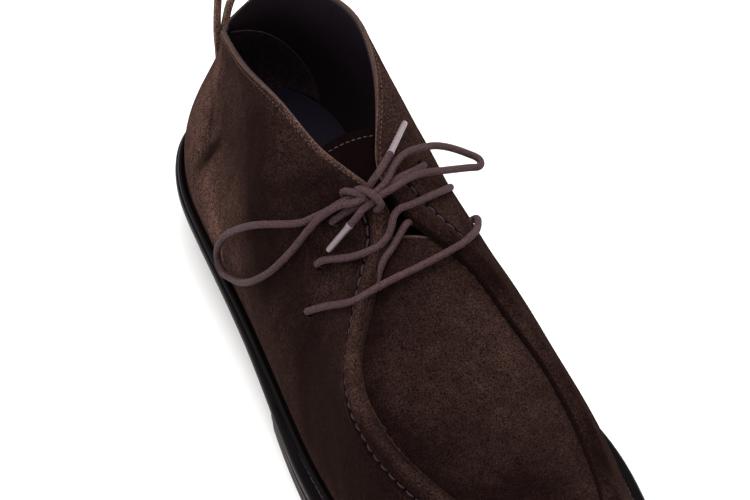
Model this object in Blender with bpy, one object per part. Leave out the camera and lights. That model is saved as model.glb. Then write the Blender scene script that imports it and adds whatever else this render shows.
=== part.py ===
"""A moc-toe derby chukka boot for the right foot, standing empty on its sole.

Everything is worked out in millimetres in the shoe's own sizes and turned into metres when a mesh
is made: "along" runs from the back of the heel to the toe, "across" from the outer (lateral) side
at minus to the inner (medial) side at plus, and "height" up from the floor.
"""

import bmesh
import bpy
import numpy as np

MM = 0.001
LENGTH = 305.0

# Wall and layer thicknesses, and the gap that touching pieces keep.
GAP = 0.3
WALL = 2.0
WELT_THICK = 3.5
WELT_LEDGE = 5.0
MIDSOLE_THICK = 3.0
OUTSOLE_THICK = 3.0
SOFT_EDGE = 0.8
TONGUE_THICK = 2.0
LACE_WIDTH = 2.5
LACE_POINT_STEP = 1.8
TIP_WIDTH = 2.8

# The welt's outer edge seen from above, from the heel back along the lateral side to the toe and home.
# along, across
WELT_EDGE = (
    (0, 0), (3, -13), (9, -23), (20, -31), (36, -36.8), (55, -39.6), (85, -41.3), (115, -43),
    (147, -46.2), (175, -48.9), (200, -49.5), (225, -47.5), (250, -41.5), (272, -31), (290, -17),
    (301, -3), (305, 9), (301, 20), (288, 33), (268, 43.5), (242, 50), (215, 52), (190, 49),
    (165, 42), (140, 34.5), (115, 30.5), (90, 31), (60, 33.5), (36, 33.5), (20, 29), (9, 22),
    (3, 12.5),
)
# along, height of the welt's top
WELT_TOP = (
    (0, 28), (60, 27.5), (85, 25.5), (110, 22.5), (135, 19), (155, 16), (175, 14.3), (200, 14),
    (235, 14), (255, 15), (275, 17.2), (290, 19.8), (305, 23),
)
# along, thickness of the insole, which is cushioned under the heel
INSOLE_THICK = ((0, 7), (70, 6.8), (130, 4), (160, 3), (305, 3))
# along, how far inside the welt's edge the upper stands
FEATHER_INSET = ((0, 4), (60, 4.2), (120, 5), (160, 6.3), (200, 7.3), (305, 7.3))
# along, height of the tread's underside
TREAD_FLOOR = ((141, 3.4), (150, 1.4), (158, 0.4), (168, 0), (238, 0), (255, 1.2), (272, 3.2), (290, 6), (305, 9.2))
TREAD_START = 142.0
# along, how far inside the welt's edge the outsole and the tread end
OUTSOLE_INSET = ((0, 2.5), (60, 3), (100, 3.5), (139, 3.2), (142.5, 0.5), (200, 0.3), (305, 0.3))
# along, how far inside the welt's edge the heel ends at its top and on the floor
HEEL_TOP_INSET = ((0, 2), (20, 2.6), (45, 4), (74, 5.5))
HEEL_FLOOR_INSET = ((0, 3.5), (20, 4.2), (45, 6), (74, 8))
HEEL_BREAST = 73.0

# Upright sections of the upper. Each runs from the feather line, at the welt's own station "foot",
# up to a point of the collar, the facing or the toe ridge. "rise" and "swell" shape its foot,
# "drop" and "spread" shape its top.
# foot, across, along, height, rise, swell, drop, spread
LATERAL_SECTIONS = (
    (0, -1.5, 10, 71.5, 18, 4, 14, 1.5),
    (10, -5, 17, 75, 18, 2.5, 15, 1),
    (22, -8.6, 27.5, 84, 19, 1.5, 17, 0.5),
    (38, -12.4, 42, 94, 20, 0.5, 20, 0),
    (54, -15, 57, 101, 22, 0, 24, 0),
    (74, -17.2, 77, 108.5, 24, 0, 26, 2),
    (90, -17.6, 92, 114, 25, 1, 26, 6),
    (104, -16.4, 103, 115.8, 26, 2, 22, 11),
    (114, -14.4, 111, 114.5, 26, 2.5, 15, 16),
    (124, -11.2, 121, 109.5, 25, 3, 8, 19),
    (133, -8.3, 129, 106.3, 24, 3, 3, 21),
    (143, -2.6, 141, 103, 23, 3, 0, 22),
    (151, 1.5, 149, 98.8, 22, 3, -1, 22),
    (160, 1.5, 157, 92, 20, 3, 0, 22),
    (170, -5.5, 165, 84, 17, 3, 0, 19),
    (181, -16, 177, 76, 15, 3, 1, 15),
    (193, -25, 190, 70, 12, 3, 1, 11),
    (208, -30.5, 206, 64, 11, 3, 1, 8.5),
    (224, -30.5, 221, 59, 10, 3, 1, 8),
    (240, -26.2, 236, 55.5, 10, 3, 1, 8.5),
    (256, -19.8, 250, 52, 10, 3, 1, 8),
    (272, -11.8, 264, 48.5, 9, 3, 1, 7),
    (290, -1, 276, 45, 9, 3, 1, 6),
    (303, 8, 281, 43.5, 9, 3, 1, 6),
)
MEDIAL_SECTIONS = (
    (8, 4, 13.3, 79, 18, 4, 15, 1.5),
    (18, 10.5, 21, 90, 20, 4, 18, 2),
    (32, 17, 33, 100, 22, 4, 22, 3),
    (48, 21.5, 47, 107, 26, 4, 26, 4),
    (66, 24.3, 64, 112.5, 30, 5, 28, 5),
    (82, 25, 80, 116.5, 32, 6, 28, 7),
    (98, 23.6, 95, 116.3, 34, 7, 24, 10),
    (110, 20.6, 107, 114.7, 36, 8, 18, 14),
    (121, 16.7, 117, 112, 38, 9, 10, 18),
    (131, 11, 128, 107.6, 39, 11, 2, 24),
    (141, 5.8, 139, 103.8, 40, 12.5, -2, 27.5),
    (151, 5.5, 149, 99, 38, 13, -2, 28),
    (160, 9.5, 157, 92, 34, 12, -2, 24.5),
    (170, 16.5, 165, 84.5, 30, 9, -1, 19),
    (181, 23, 176, 76.5, 26, 7.5, -1, 13.5),
    (193, 26.5, 190, 68.5, 22, 6.5, -1, 9.5),
    (208, 29.3, 206, 62.5, 18, 5, 0, 7),
    (224, 30.2, 221, 58.5, 14, 4, 0, 6.3),
    (240, 30, 236, 54, 12, 3, 0, 7),
    (256, 29, 251, 50, 11, 3, 0, 7),
    (272, 26, 266, 47, 10, 3, 0, 6.5),
    (290, 18, 277, 44.8, 9, 3, 1, 6),
)

# The apron starts at these feet, and stands this high along its middle.
APRON_FOOT_LATERAL = 162
APRON_FOOT_MEDIAL = 167.5
# along, height of the apron's middle
APRON_CROWN = ((157, 89.5), (161, 87.2), (166, 84), (175, 80), (190, 74), (205, 68.5), (220, 63.5), (235, 59),
               (250, 55), (265, 50.5), (275, 46.5), (284, 41))
RIDGE_DROP = 2.6
RIDGE_STEP = 1.3

# Tongue. along, across, height, half its width
TONGUE_SECTIONS = (
    (124.5, 1.5, 107, 8),
    (126.5, 1.5, 106, 12.5),
    (130, 1.6, 104.3, 15),
    (135.5, 2.1, 101.4, 15),
    (141, 3, 98.4, 14),
    (148, 3.8, 94, 13.5),
    (157, 4.5, 85.6, 14),
    (165, 5, 79, 15.5),
    (176, 3.5, 74.4, 17),
    (190, 2.5, 69, 17),
)
TONGUE_CROWN = 0.018

# Lace. Each route is hand-laid: across, along, height, from one end to the other.
LACE_BARS = {
    "lace_bar_low": (
        (-31.1, 153.9, 64.2), (-28.8, 157, 67.1), (-24.5, 163.8, 72.9), (-19.2, 171, 78.7),
        (-13.7, 172.4, 81.4), (-7.4, 173, 83.5), (1.1, 172.7, 84.3), (8.7, 172, 84.6),
        (16.4, 170.9, 84.9), (22.4, 168.6, 83.9), (27.3, 165, 82.4), (30.9, 160.4, 79.8),
        (33, 156.1, 79), (33.7, 153.1, 77.4),
    ),
    "lace_bar_middle": (
        (-24.1, 150.1, 79.8), (-21.9, 151.5, 81.7), (-17.9, 155.2, 84), (-13.1, 159.3, 86.4),
        (-7.6, 161.7, 88.7), (-4.2, 161.9, 89.9), (-1, 160.9, 91.6), (1.2, 159.5, 94),
        (3.3, 157.4, 96), (6.3, 156.2, 96.8), (9.3, 156, 96.5), (17.6, 153.6, 94.7),
        (24.3, 150.2, 91.8), (28.2, 146.8, 88.8), (30.8, 144.2, 86.4),
    ),
    "lace_inner_strand": ((-1.8, 163.4, 87), (1, 162, 88.6), (3.6, 160.6, 90.3), (6, 159.3, 91.6)),
    "lace_left_strand": ((-15.8, 147.5, 93.2), (-14.2, 148, 94.2), (-10, 149.1, 96.9), (-8, 149.7, 97.9)),
    "lace_right_strand": (
        (22.7, 141.2, 97.8), (19.4, 143.8, 99.2), (14.6, 146.1, 100.9), (9.2, 147.9, 101.9),
        (5.8, 149.1, 101.9),
    ),
}
LACE_BOW = {
    "lace_left_loop": (
        (-8.5, 150.9, 101.4), (-11, 149.6, 100.9), (-13.9, 148.4, 99.7), (-19.3, 146.4, 95.6),
        (-25.4, 143, 86.1), (-31.1, 139.1, 76.3), (-36, 133.2, 66.6), (-39.4, 126, 58.5),
        (-40, 117.5, 50.7), (-39.9, 106, 41.5), (-39.7, 95.5, 34.5), (-39.6, 87.8, 31),
        (-39.1, 84.2, 34), (-38.4, 87.6, 43.2), (-37.3, 94.5, 52.8), (-36.6, 103.5, 62.2),
        (-34.2, 120.7, 78.1), (-28.9, 132.8, 86.2), (-23.3, 140, 90.4), (-20.7, 141.9, 92.5),
        (-15.4, 144.9, 96.2), (-11.5, 146.1, 98.7), (-8, 147.6, 100.4),
    ),
    "lace_right_loop": (
        (4.6, 150.2, 105.2), (7.7, 146.7, 105), (14.1, 142.4, 106), (20.8, 141, 105),
        (27.5, 138.4, 101), (34.3, 137.9, 96), (39.4, 138.1, 91.4), (40.9, 138.9, 90.4),
        (41.9, 140.2, 89.4), (41.4, 141.9, 88.9), (39.9, 142.8, 89.2),
        (37.9, 142.9, 90), (32.5, 144.3, 93), (26.2, 146.3, 96.7), (16.7, 149.7, 102.2),
        (9.4, 152.7, 104.6), (4.2, 153.9, 104.2),
    ),
    "lace_left_end": ((-6.6, 154, 99.8), (-8.4, 154.3, 98.3), (-10.2, 154.3, 96.6), (-11.7, 154, 95)),
    "lace_right_end": (
        (-0.9, 150.1, 106.3), (1.4, 149.6, 108.2), (3.8, 148, 108.9), (7, 144.5, 108.2),
        (10.4, 140.7, 107.4),
    ),
}
# Each lace tip runs on from its end to here.
LACE_TIPS = {"lace_left_end": (-19.8, 152.7, 86.3), "lace_right_end": (20.8, 129.2, 107.4)}
KNOT_MIDDLE = (-1.8, 151.7, 102.2)
KNOT_HALF = (6.0, 3.3, 3.4)

# Pull loop at the heel: across, along, height, up one leg and down the other.
PULL_LOOP = (
    (-4.2, 4.4, 52), (-4.2, 5.4, 57), (-4.1, 5.9, 62), (-3.8, 6.0, 66), (-2.6, 5.8, 74), (-1.3, 5.6, 81),
    (-0.4, 5.6, 88), (0.6, 5.8, 95), (4.2, 6.1, 100), (8.4, 6.3, 97), (9.2, 6.5, 90.5), (6.3, 6.6, 83.5),
    (2.8, 6.5, 77.8), (0.3, 6.4, 71), (-0.9, 6.0, 65.5), (-1.0, 5.4, 60), (-1.1, 4.6, 56), (-1.1, 3.7, 52),
)
PULL_WIDTH = 2.6
PULL_THICK = 2.2

COLOURS = {
    "suede": (0.058, 0.036, 0.027),
    "lining": (0.030, 0.022, 0.030),
    "rubber": (0.012, 0.011, 0.012),
    "tread": (0.035, 0.024, 0.022),
    "lace": (0.115, 0.068, 0.070),
    "tip": (0.42, 0.34, 0.36),
}


def monotone(table, at):
    """Heights or insets read smoothly from a table, never past the rows on either side."""
    rows = np.array(table, float)
    x, y = rows[:, 0], rows[:, 1]
    step, rise = np.diff(x), np.diff(y) / np.diff(x)
    slope = np.zeros(len(x))
    same = rise[:-1] * rise[1:] > 0
    left, right = 2 * step[1:] + step[:-1], step[1:] + 2 * step[:-1]
    mean = (left + right) / (left / np.where(same, rise[:-1], 1) + right / np.where(same, rise[1:], 1))
    slope[1:-1] = np.where(same, mean, 0)
    slope[0], slope[-1] = rise[0], rise[-1]
    at = np.clip(at, x[0], x[-1])
    i = np.clip(np.searchsorted(x, at, side="right") - 1, 0, len(step) - 1)
    return hermite(y, slope, step, i, (at - x[i]) / step[i])


def hermite(values, slopes, steps, i, t):
    """The cubic between rows i and i + 1, a share t of the way."""
    a, b = values[i], values[i + 1]
    u, v = slopes[i], slopes[i + 1]
    h = steps[i]
    if values.ndim == 2:
        t, h = t[:, None], h[:, None]
    return (
        (2 * t**3 - 3 * t**2 + 1) * a
        + (t**3 - 2 * t**2 + t) * h * u
        + (3 * t**2 - 2 * t**3) * b
        + (t**3 - t**2) * h * v
    )


def round_loop(knots, rows, period, at):
    """A smooth closed curve through the rows, which stand at those knots of the period."""
    n = len(knots)
    step = np.diff(np.append(knots, knots[0] + period))
    system, right = np.zeros((n, n)), np.zeros_like(rows)
    for i in range(n):
        before, after = step[i - 1], step[i]
        system[i, i - 1] += 1 / before
        system[i, i] += 2 / before + 2 / after
        system[i, (i + 1) % n] += 1 / after
        right[i] = 3 * (
            (rows[i] - rows[i - 1]) / before**2 + (rows[(i + 1) % n] - rows[i]) / after**2
        )
    slope = np.linalg.solve(system, right)
    at = knots[0] + np.mod(at - knots[0], period)
    i = np.clip(np.searchsorted(knots, at, side="right") - 1, 0, n - 1)
    values, slopes = np.vstack([rows, rows[:1]]), np.vstack([slope, slope[:1]])
    return hermite(values, slopes, step, i, (at - knots[i]) / step[i])


def smooth_line(points, count):
    """Evenly spaced points on a smooth open curve through the given ones."""
    rows = np.array(points, float)
    there = np.concatenate([rows, rows[-2:0:-1]])
    gaps = np.sqrt(np.linalg.norm(np.diff(np.vstack([there, there[:1]]), axis=0), axis=1))
    knots = np.concatenate([[0], np.cumsum(gaps)[:-1]])
    fine = round_loop(knots, there, gaps.sum(), np.linspace(0, knots[len(rows) - 1], 400))
    far = np.concatenate([[0], np.cumsum(np.linalg.norm(np.diff(fine, axis=0), axis=1))])
    even = np.linspace(0, far[-1], count)
    return np.stack([np.interp(even, far, fine[:, k]) for k in range(3)], axis=1)


class Outline:
    """The welt's edge as a closed curve, and lines inside it."""

    def __init__(self):
        rows = np.array(WELT_EDGE, float)
        gaps = np.sqrt(np.linalg.norm(np.diff(np.vstack([rows, rows[:1]]), axis=0), axis=1))
        self.period = gaps.sum()
        self.knots = np.concatenate([[0], np.cumsum(gaps)[:-1]])
        self.rows = rows
        place = np.linspace(0, self.period, 2401)
        edge = self.at(place)[0]
        self.toe = place[np.argmax(edge[:, 0])]
        self.middle = (edge[:, 1].max() + edge[:, 1].min()) / 2

    def at(self, place):
        """Points (along, across) of the edge, and its outward directions."""
        nudge = self.period * 1e-5
        here = round_loop(self.knots, self.rows, self.period, place)
        ahead = round_loop(self.knots, self.rows, self.period, place + nudge)
        back = round_loop(self.knots, self.rows, self.period, place - nudge)
        along = ahead - back
        along /= np.linalg.norm(along, axis=1)[:, None]
        return here, np.stack([along[:, 1], -along[:, 0]], axis=1)

    def inside(self, place, inset):
        """Points of the line that lies that far inside the edge; the inset is a number or a table."""
        here, out = self.at(place)
        if not np.isscalar(inset):
            inset = monotone(inset, here[:, 0])[:, None]
        return here - out * inset, out

    def place_of(self, along, lateral):
        """Where on the lateral or the medial side the edge passes that station."""
        ends = (0, self.toe) if lateral else (self.toe, self.period)
        place = np.linspace(*ends, 1201)
        reached = self.at(place)[0][:, 0]
        order = np.argsort(reached)
        return np.interp(along, reached[order], place[order])

    def both_sides(self, inset, start, end, count):
        """Points on an inset line at the same stations: a lateral row and a medial row.

        The stations crowd together where the line turns round the heel or the toe.
        """
        sides = []
        for ends in ((0, self.toe), (self.toe, self.period)):
            line = self.inside(np.linspace(*ends, 1501), inset)[0]
            sides.append(line[np.argsort(line[:, 0])])
        low = max(start, sides[0][0, 0], sides[1][0, 0])
        high = min(end, sides[0][-1, 0], sides[1][-1, 0])
        first = 0 if low > start else np.pi / 2
        last = np.pi if high < end else np.pi / 2
        spread = -np.cos(np.linspace(first, last, count))
        stations = low + (high - low) * (spread - spread[0]) / (spread[-1] - spread[0])
        return [np.stack([stations, np.interp(stations, *side.T)], axis=1) for side in sides]


OUTLINE = Outline()


def in_metres(points):
    """World places of (across, along, height) points."""
    points = np.asarray(points, float)
    return np.stack(
        [
            (points[..., 0] - OUTLINE.middle) * MM,
            (LENGTH / 2 - points[..., 1]) * MM,
            points[..., 2] * MM,
        ],
        axis=-1,
    )


def material(slot, roughness):
    made = bpy.data.materials.get(slot) or bpy.data.materials.new(slot)
    made.use_nodes = True
    shader = made.node_tree.nodes["Principled BSDF"]
    shader.inputs["Base Color"].default_value = (*COLOURS[slot], 1)
    shader.inputs["Roughness"].default_value = roughness
    shader.inputs["Metallic"].default_value = 0
    return made


def finished(name, mesh, slot, roughness):
    """A closed mesh made into a named object with its faces turned outwards."""
    bmesh.ops.remove_doubles(mesh, verts=mesh.verts, dist=2e-6)
    bmesh.ops.dissolve_degenerate(mesh, edges=mesh.edges, dist=1e-6)
    bmesh.ops.recalc_face_normals(mesh, faces=mesh.faces)
    data = bpy.data.meshes.new(name)
    mesh.to_mesh(data)
    mesh.free()
    made = bpy.data.objects.new(name, data)
    data.materials.append(material(slot, roughness))
    bpy.context.scene.collection.objects.link(made)
    return made


def rows_of_points(mesh, grid):
    return [[mesh.verts.new(p) for p in row] for row in in_metres(grid)]


def quads(mesh, first, second, closed):
    """Faces between two rows of points."""
    for i in range(len(first) if closed else len(first) - 1):
        j = (i + 1) % len(first)
        mesh.faces.new((first[i], first[j], second[j], second[i]))


def slab(name, levels, slot, roughness):
    """A closed slab through levels, each a lateral and a medial row at the same stations."""
    mesh = bmesh.new()
    rings = []
    for lateral, medial in levels:
        rings.append(rows_of_points(mesh, [np.concatenate([lateral, medial[::-1]])])[0])
    for low, high in zip(rings, rings[1:]):
        quads(mesh, low, high, closed=True)
    half = len(rings[0]) // 2
    for ring in (rings[0], rings[-1]):
        quads(mesh, ring[:half], ring[half:][::-1], closed=False)
    return finished(name, mesh, slot, roughness)


def level(inset, height, start=-9.0, end=LENGTH + 9, count=44):
    """One level of a slab: its outline's two sides, with the height read from a function."""
    made = []
    for side in OUTLINE.both_sides(inset, start, end, count):
        made.append(np.stack([side[:, 1], side[:, 0], height(side[:, 0])], axis=1))
    return made


def welt_top(along):
    return monotone(WELT_TOP, along)


def below_welt(depth):
    return lambda along: welt_top(along) - depth


def insole_top(drop):
    """The insole's top, that far down, as a function of the place along the shoe."""
    return lambda along: welt_top(along) + GAP + monotone(INSOLE_THICK, along) - drop


def deeper(table, more):
    return tuple((along, inset + more) for along, inset in table)


def ring(name, loops, slot, roughness):
    """A closed ring whose cross-section runs through the loops in turn."""
    mesh = bmesh.new()
    rows = rows_of_points(mesh, loops)
    for first, second in zip(rows, rows[1:] + rows[:1]):
        quads(mesh, first, second, closed=True)
    return finished(name, mesh, slot, roughness)


def make_welt():
    """A storm welt: a flat rim with a rounded edge and a bead that hugs the upper."""
    place = np.linspace(0, OUTLINE.period, 81)[:-1]
    # share of the feather inset, more inset, height over the welt's top
    profile = (
        (0, 0.8, -WELT_THICK),
        (0, 0, -WELT_THICK + 0.9),
        (0, 0, -0.9),
        (0, 0.9, 0),
        (1, -2.9, 0),
        (1, -2.4, 1.5),
        (1, -1.4, 1.7),
        (1, -0.8, 0.9),
        (1, -0.8, 0),
        (1, WELT_LEDGE, 0),
        (1, WELT_LEDGE, -WELT_THICK),
    )
    loops = []
    for share, more, lift in profile:
        inset = deeper(tuple((along, inset * share) for along, inset in FEATHER_INSET), more)
        line = OUTLINE.inside(place, inset)[0]
        loops.append(np.stack([line[:, 1], line[:, 0], welt_top(line[:, 0]) + lift], axis=1))
    return ring("welt", loops, "rubber", 0.45)


def make_midsole():
    """A filler board that fills the welt's middle and spreads out below it."""
    top = WELT_THICK + GAP
    edge = 1.0
    fill = deeper(FEATHER_INSET, WELT_LEDGE + GAP)
    levels = [
        level(edge, below_welt(top + MIDSOLE_THICK)),
        level(edge, below_welt(top)),
        level(fill, below_welt(top)),
        level(fill, below_welt(0)),
    ]
    return slab("midsole", levels, "tread", 0.6)


def make_outsole():
    top = WELT_THICK + MIDSOLE_THICK + 2 * GAP
    levels = [
        level(OUTSOLE_INSET, below_welt(top + OUTSOLE_THICK)),
        level(OUTSOLE_INSET, below_welt(top)),
    ]
    return slab("outsole", levels, "tread", 0.6)


def grooves(made, stations, width, depth, reach, floor):
    """Cuts grooves across the underside, each ending short of the sides."""
    cutter_mesh = bmesh.new()
    for along, left, right in stations:
        low = floor(along) - 2
        corners = [
            (x, along + side * width / 2, z)
            for x in (left + reach, right - reach)
            for side in (-1, 1)
            for z in (low, low + 2 + depth)
        ]
        verts = [cutter_mesh.verts.new(p) for p in in_metres(corners)]
        bmesh.ops.convex_hull(cutter_mesh, input=verts)
    cutter = finished(made.name + "_grooves", cutter_mesh, "tread", 0.6)
    cutter.hide_render = True
    cutter.hide_set(True)
    cut = made.modifiers.new("Grooves", "BOOLEAN")
    cut.operation = "DIFFERENCE"
    cut.solver = "EXACT"
    cut.object = cutter
    return made


def stations_across(inset, places):
    sides = OUTLINE.both_sides(inset, -9.0, LENGTH + 9, 200)
    return [
        (along, *(float(np.interp(along, *side.T)) for side in sides))
        for along in places
    ]


def make_tread():
    """The forefoot tread: a pad with lugs, which is flat under the ball and rises at the toe."""
    top = WELT_THICK + MIDSOLE_THICK + OUTSOLE_THICK + 3 * GAP
    levels = [
        level(OUTSOLE_INSET, lambda along: monotone(TREAD_FLOOR, along), start=TREAD_START),
        level(OUTSOLE_INSET, below_welt(top), start=TREAD_START),
    ]
    made = slab("forefoot_tread", levels, "tread", 0.6)
    rows = stations_across(OUTSOLE_INSET, range(164, 286, 15))
    return grooves(made, rows, 4.0, 1.8, 7.0, lambda along: float(monotone(TREAD_FLOOR, np.array([along]))[0]))


def make_heel():
    top = WELT_THICK + MIDSOLE_THICK + OUTSOLE_THICK + 3 * GAP
    levels = [
        level(HEEL_FLOOR_INSET, lambda along: along * 0, end=HEEL_BREAST),
        level(HEEL_TOP_INSET, below_welt(top), end=HEEL_BREAST + 1),
    ]
    made = slab("heel", levels, "rubber", 0.6)
    rows = stations_across(HEEL_FLOOR_INSET, (20, 33, 46, 59))
    return grooves(made, rows, 3.5, 2.0, 7.0, lambda along: 0.0)


def make_insole():
    inset = deeper(FEATHER_INSET, WALL + SOFT_EDGE)
    levels = [
        level(inset, below_welt(-GAP)),
        level(inset, insole_top(SOFT_EDGE)),
        level(deeper(inset, SOFT_EDGE), insole_top(0)),
    ]
    return slab("insole", levels, "lining", 0.8)


class Upper:
    """The upper's outer surface, worked out from its sections."""

    def __init__(self):
        places, rows = [], []
        for sections, lateral in ((LATERAL_SECTIONS, True), (MEDIAL_SECTIONS[::-1], False)):
            for foot, *rest in sections:
                places.append(float(OUTLINE.place_of(foot, lateral)))
                rows.append(rest)
        self.knots = np.array(places)
        self.rows = np.array(rows, float)

    def sections(self, place):
        return round_loop(self.knots, self.rows, OUTLINE.period, place)

    def wall(self, place, share):
        """Points at those shares of the way up each section; the result is shares by places."""
        foot, out = OUTLINE.inside(place, FEATHER_INSET)
        rows = self.sections(place)
        base = np.stack([foot[:, 1], foot[:, 0], welt_top(foot[:, 0]) + GAP], axis=1)
        out = np.stack([out[:, 1], out[:, 0], 0 * out[:, 0]], axis=1)
        up = np.array([0, 0, 1.0])
        top = rows[:, :3]
        rise, swell, drop, spread = (rows[:, k, None] for k in range(3, 7))
        low, high = base + rise * up + swell * out, top - drop * up + spread * out
        t = np.asarray(share, float)[:, None, None]
        return (
            (1 - t) ** 3 * base
            + 3 * (1 - t) ** 2 * t * low
            + 3 * (1 - t) * t**2 * high
            + t**3 * top
        )

    def even_places(self, start, end, count):
        """Places between two others, evenly spaced by the wall's mean length."""
        fine = np.linspace(start, end, 801)
        lines = self.wall(fine, (0, 0.5, 1))
        far = np.linalg.norm(np.diff(lines, axis=1), axis=2).mean(axis=0)
        far = np.concatenate([[0], np.cumsum(far)])
        return np.interp(np.linspace(0, far[-1], count), far, fine)

    def ridge_tip(self):
        """The place where the ridge is nearest the toe."""
        fine = np.linspace(*(OUTLINE.place_of(285, side) for side in (True, False)), 801)
        return fine[np.argmax(self.sections(fine)[:, 1])]


def apron_rows(lateral, medial, count):
    """Rows across the apron between the ridge's two sides, crowned along the middle."""
    share = np.linspace(0, 1, count)[:, None]
    rows = []
    for left, right in zip(lateral, medial):
        row = left + (right - left) * share
        crown = float(monotone(APRON_CROWN, np.array([(left[1] + right[1]) / 2]))[0])
        lift = max(0.0, crown - (left[2] + right[2]) / 2)
        row[:, 2] += lift * (1 - (2 * share[:, 0] - 1) ** 2)
        rows.append(row)
    return rows


def upper_faces(upper, heights, rear, front, across):
    """The upper's outer points and faces: a wall of sections, the ridge's inner step and the apron."""
    start = OUTLINE.place_of(APRON_FOOT_LATERAL, True)
    end = OUTLINE.place_of(APRON_FOOT_MEDIAL, False)
    tip = upper.ridge_tip()
    toe = np.concatenate([upper.even_places(start, tip, front), upper.even_places(tip, end, front)[1:]])
    back = upper.even_places(end, start + OUTLINE.period, rear)[1:-1]
    places = np.concatenate([toe, back])
    grid = upper.wall(places, heights)
    points = list(grid.reshape(-1, 3))
    n, faces = len(places), []
    index = np.arange(len(points)).reshape(len(heights), n)
    for low, high in zip(index, index[1:]):
        for i in range(n):
            j = (i + 1) % n
            faces.append((low[i], low[j], high[j], high[i]))
    crest = grid[-1][: len(toe)]
    side = np.gradient(crest, axis=0)
    inward = np.cross(side, (0, 0, 1.0))
    inward /= np.linalg.norm(inward, axis=1)[:, None]
    middle = crest.mean(axis=0)
    inward *= np.sign(((middle - crest) * inward).sum(axis=1))[:, None]
    step = crest + inward * RIDGE_STEP - np.array([0, 0, RIDGE_DROP])
    half = len(toe) // 2
    first = len(points)
    points += list(step)
    ridge, edge = index[-1][: len(toe)], np.arange(first, first + len(toe))
    for i in range(len(toe) - 1):
        faces.append((ridge[i], ridge[i + 1], edge[i + 1], edge[i]))
    inner = apron_rows(step[:half], step[:half:-1], across)
    rows = []
    for i, row in enumerate(inner):
        ids = [edge[i]]
        for point in row[1:-1]:
            ids.append(len(points))
            points.append(point)
        ids.append(edge[len(toe) - 1 - i])
        rows.append(ids)
    for low, high in zip(rows, rows[1:]):
        for i in range(across - 1):
            faces.append((low[i], high[i], high[i + 1], low[i + 1]))
    for i in range(across - 1):
        faces.append((rows[-1][i], edge[half], rows[-1][i + 1]))
    return np.array(points), faces, n


def make_upper():
    """One hollow solid: the outer surface, an inner one a wall's thickness inside, and their rims."""
    points, faces, n = upper_faces(Upper(), np.linspace(0, 1, 10), rear=46, front=21, across=11)
    mesh = bmesh.new()
    outer = [mesh.verts.new(p) for p in in_metres(points)]
    for face in faces:
        mesh.faces.new([outer[i] for i in face])
    bmesh.ops.recalc_face_normals(mesh, faces=mesh.faces)
    mesh.normal_update()
    if sum(v.normal.z for v in outer[n * 9 :]) < 0:
        bmesh.ops.reverse_faces(mesh, faces=mesh.faces)
        mesh.normal_update()
    inner = []
    for i, vert in enumerate(outer):
        inward = -vert.normal
        if i < n:
            inward.z = 0
            inward.normalize()
        inner.append(mesh.verts.new(vert.co + inward * WALL * MM))
    for face in list(mesh.faces):
        mesh.faces.new([inner[outer.index(v)] for v in reversed(face.verts)])
    mate = dict(zip(outer, inner))
    for rim in [e for e in mesh.edges if e.is_boundary and e.verts[0] in mate]:
        a, b = rim.verts
        mesh.faces.new((a, b, mate[b], mate[a]))
    return finished("upper", mesh, "suede", 0.95)


def make_tongue():
    """A thin tongue that follows the throat under the facings and the apron."""
    rows = np.array(TONGUE_SECTIONS)
    share = np.linspace(-1, 1, 13)
    top = []
    for along, across, height, half in rows:
        side = share * half
        top.append(np.stack([across + side, 0 * side + along, height - TONGUE_CROWN * side**2], axis=1))
    top = np.array(top)
    lean = np.gradient(top, axis=0)
    over = np.gradient(top, axis=1)
    normal = np.cross(over, lean)
    normal /= np.linalg.norm(normal, axis=2)[..., None]
    normal *= np.sign(normal[..., 2:])
    low = top - normal * TONGUE_THICK
    mesh = bmesh.new()
    above, below = rows_of_points(mesh, top), rows_of_points(mesh, low)
    for grid in (above, below):
        for first, second in zip(grid, grid[1:]):
            quads(mesh, first, second, closed=False)
    for a, b in ((above[0], below[0]), (above[-1], below[-1])):
        quads(mesh, a, b, closed=False)
    for k in (0, -1):
        quads(mesh, [row[k] for row in above], [row[k] for row in below], closed=False)
    return finished("tongue", mesh, "suede", 0.95)


def tube(name, route, width, slot):
    """A lace strand: a round tube on a smooth line through its route."""
    length = np.linalg.norm(np.diff(np.array(route, float), axis=0), axis=1).sum()
    line = in_metres(smooth_line(route, max(3, round(length / (LACE_POINT_STEP * width)) + 1)))
    data = bpy.data.curves.new(name, "CURVE")
    data.dimensions = "3D"
    data.bevel_depth = width / 2 * MM
    data.bevel_resolution = 2
    data.use_fill_caps = True
    spline = data.splines.new("POLY")
    spline.points.add(len(line) - 1)
    for point, place in zip(spline.points, line):
        point.co = (*place, 1)
    data.materials.append(material(slot, 0.6))
    made = bpy.data.objects.new(name, data)
    bpy.context.scene.collection.objects.link(made)
    return made


def make_lace():
    for name, route in (LACE_BARS | LACE_BOW).items():
        tube(name, route, LACE_WIDTH, "lace")
    for name, end in LACE_TIPS.items():
        start, end = np.array(LACE_BOW[name][-1]), np.array(end)
        start = start + (end - start) * GAP / np.linalg.norm(end - start)
        tube(name.replace("_end", "_tip"), (start, (start + end) / 2, end), TIP_WIDTH, "tip")


def make_knot():
    mesh = bmesh.new()
    bmesh.ops.create_uvsphere(mesh, u_segments=14, v_segments=9, radius=1)
    for vert in mesh.verts:
        place = np.array(KNOT_MIDDLE) + np.array(vert.co) * np.array(KNOT_HALF)
        vert.co = in_metres(place)
    return finished("lace_knot", mesh, "lace", 0.6)


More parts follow.
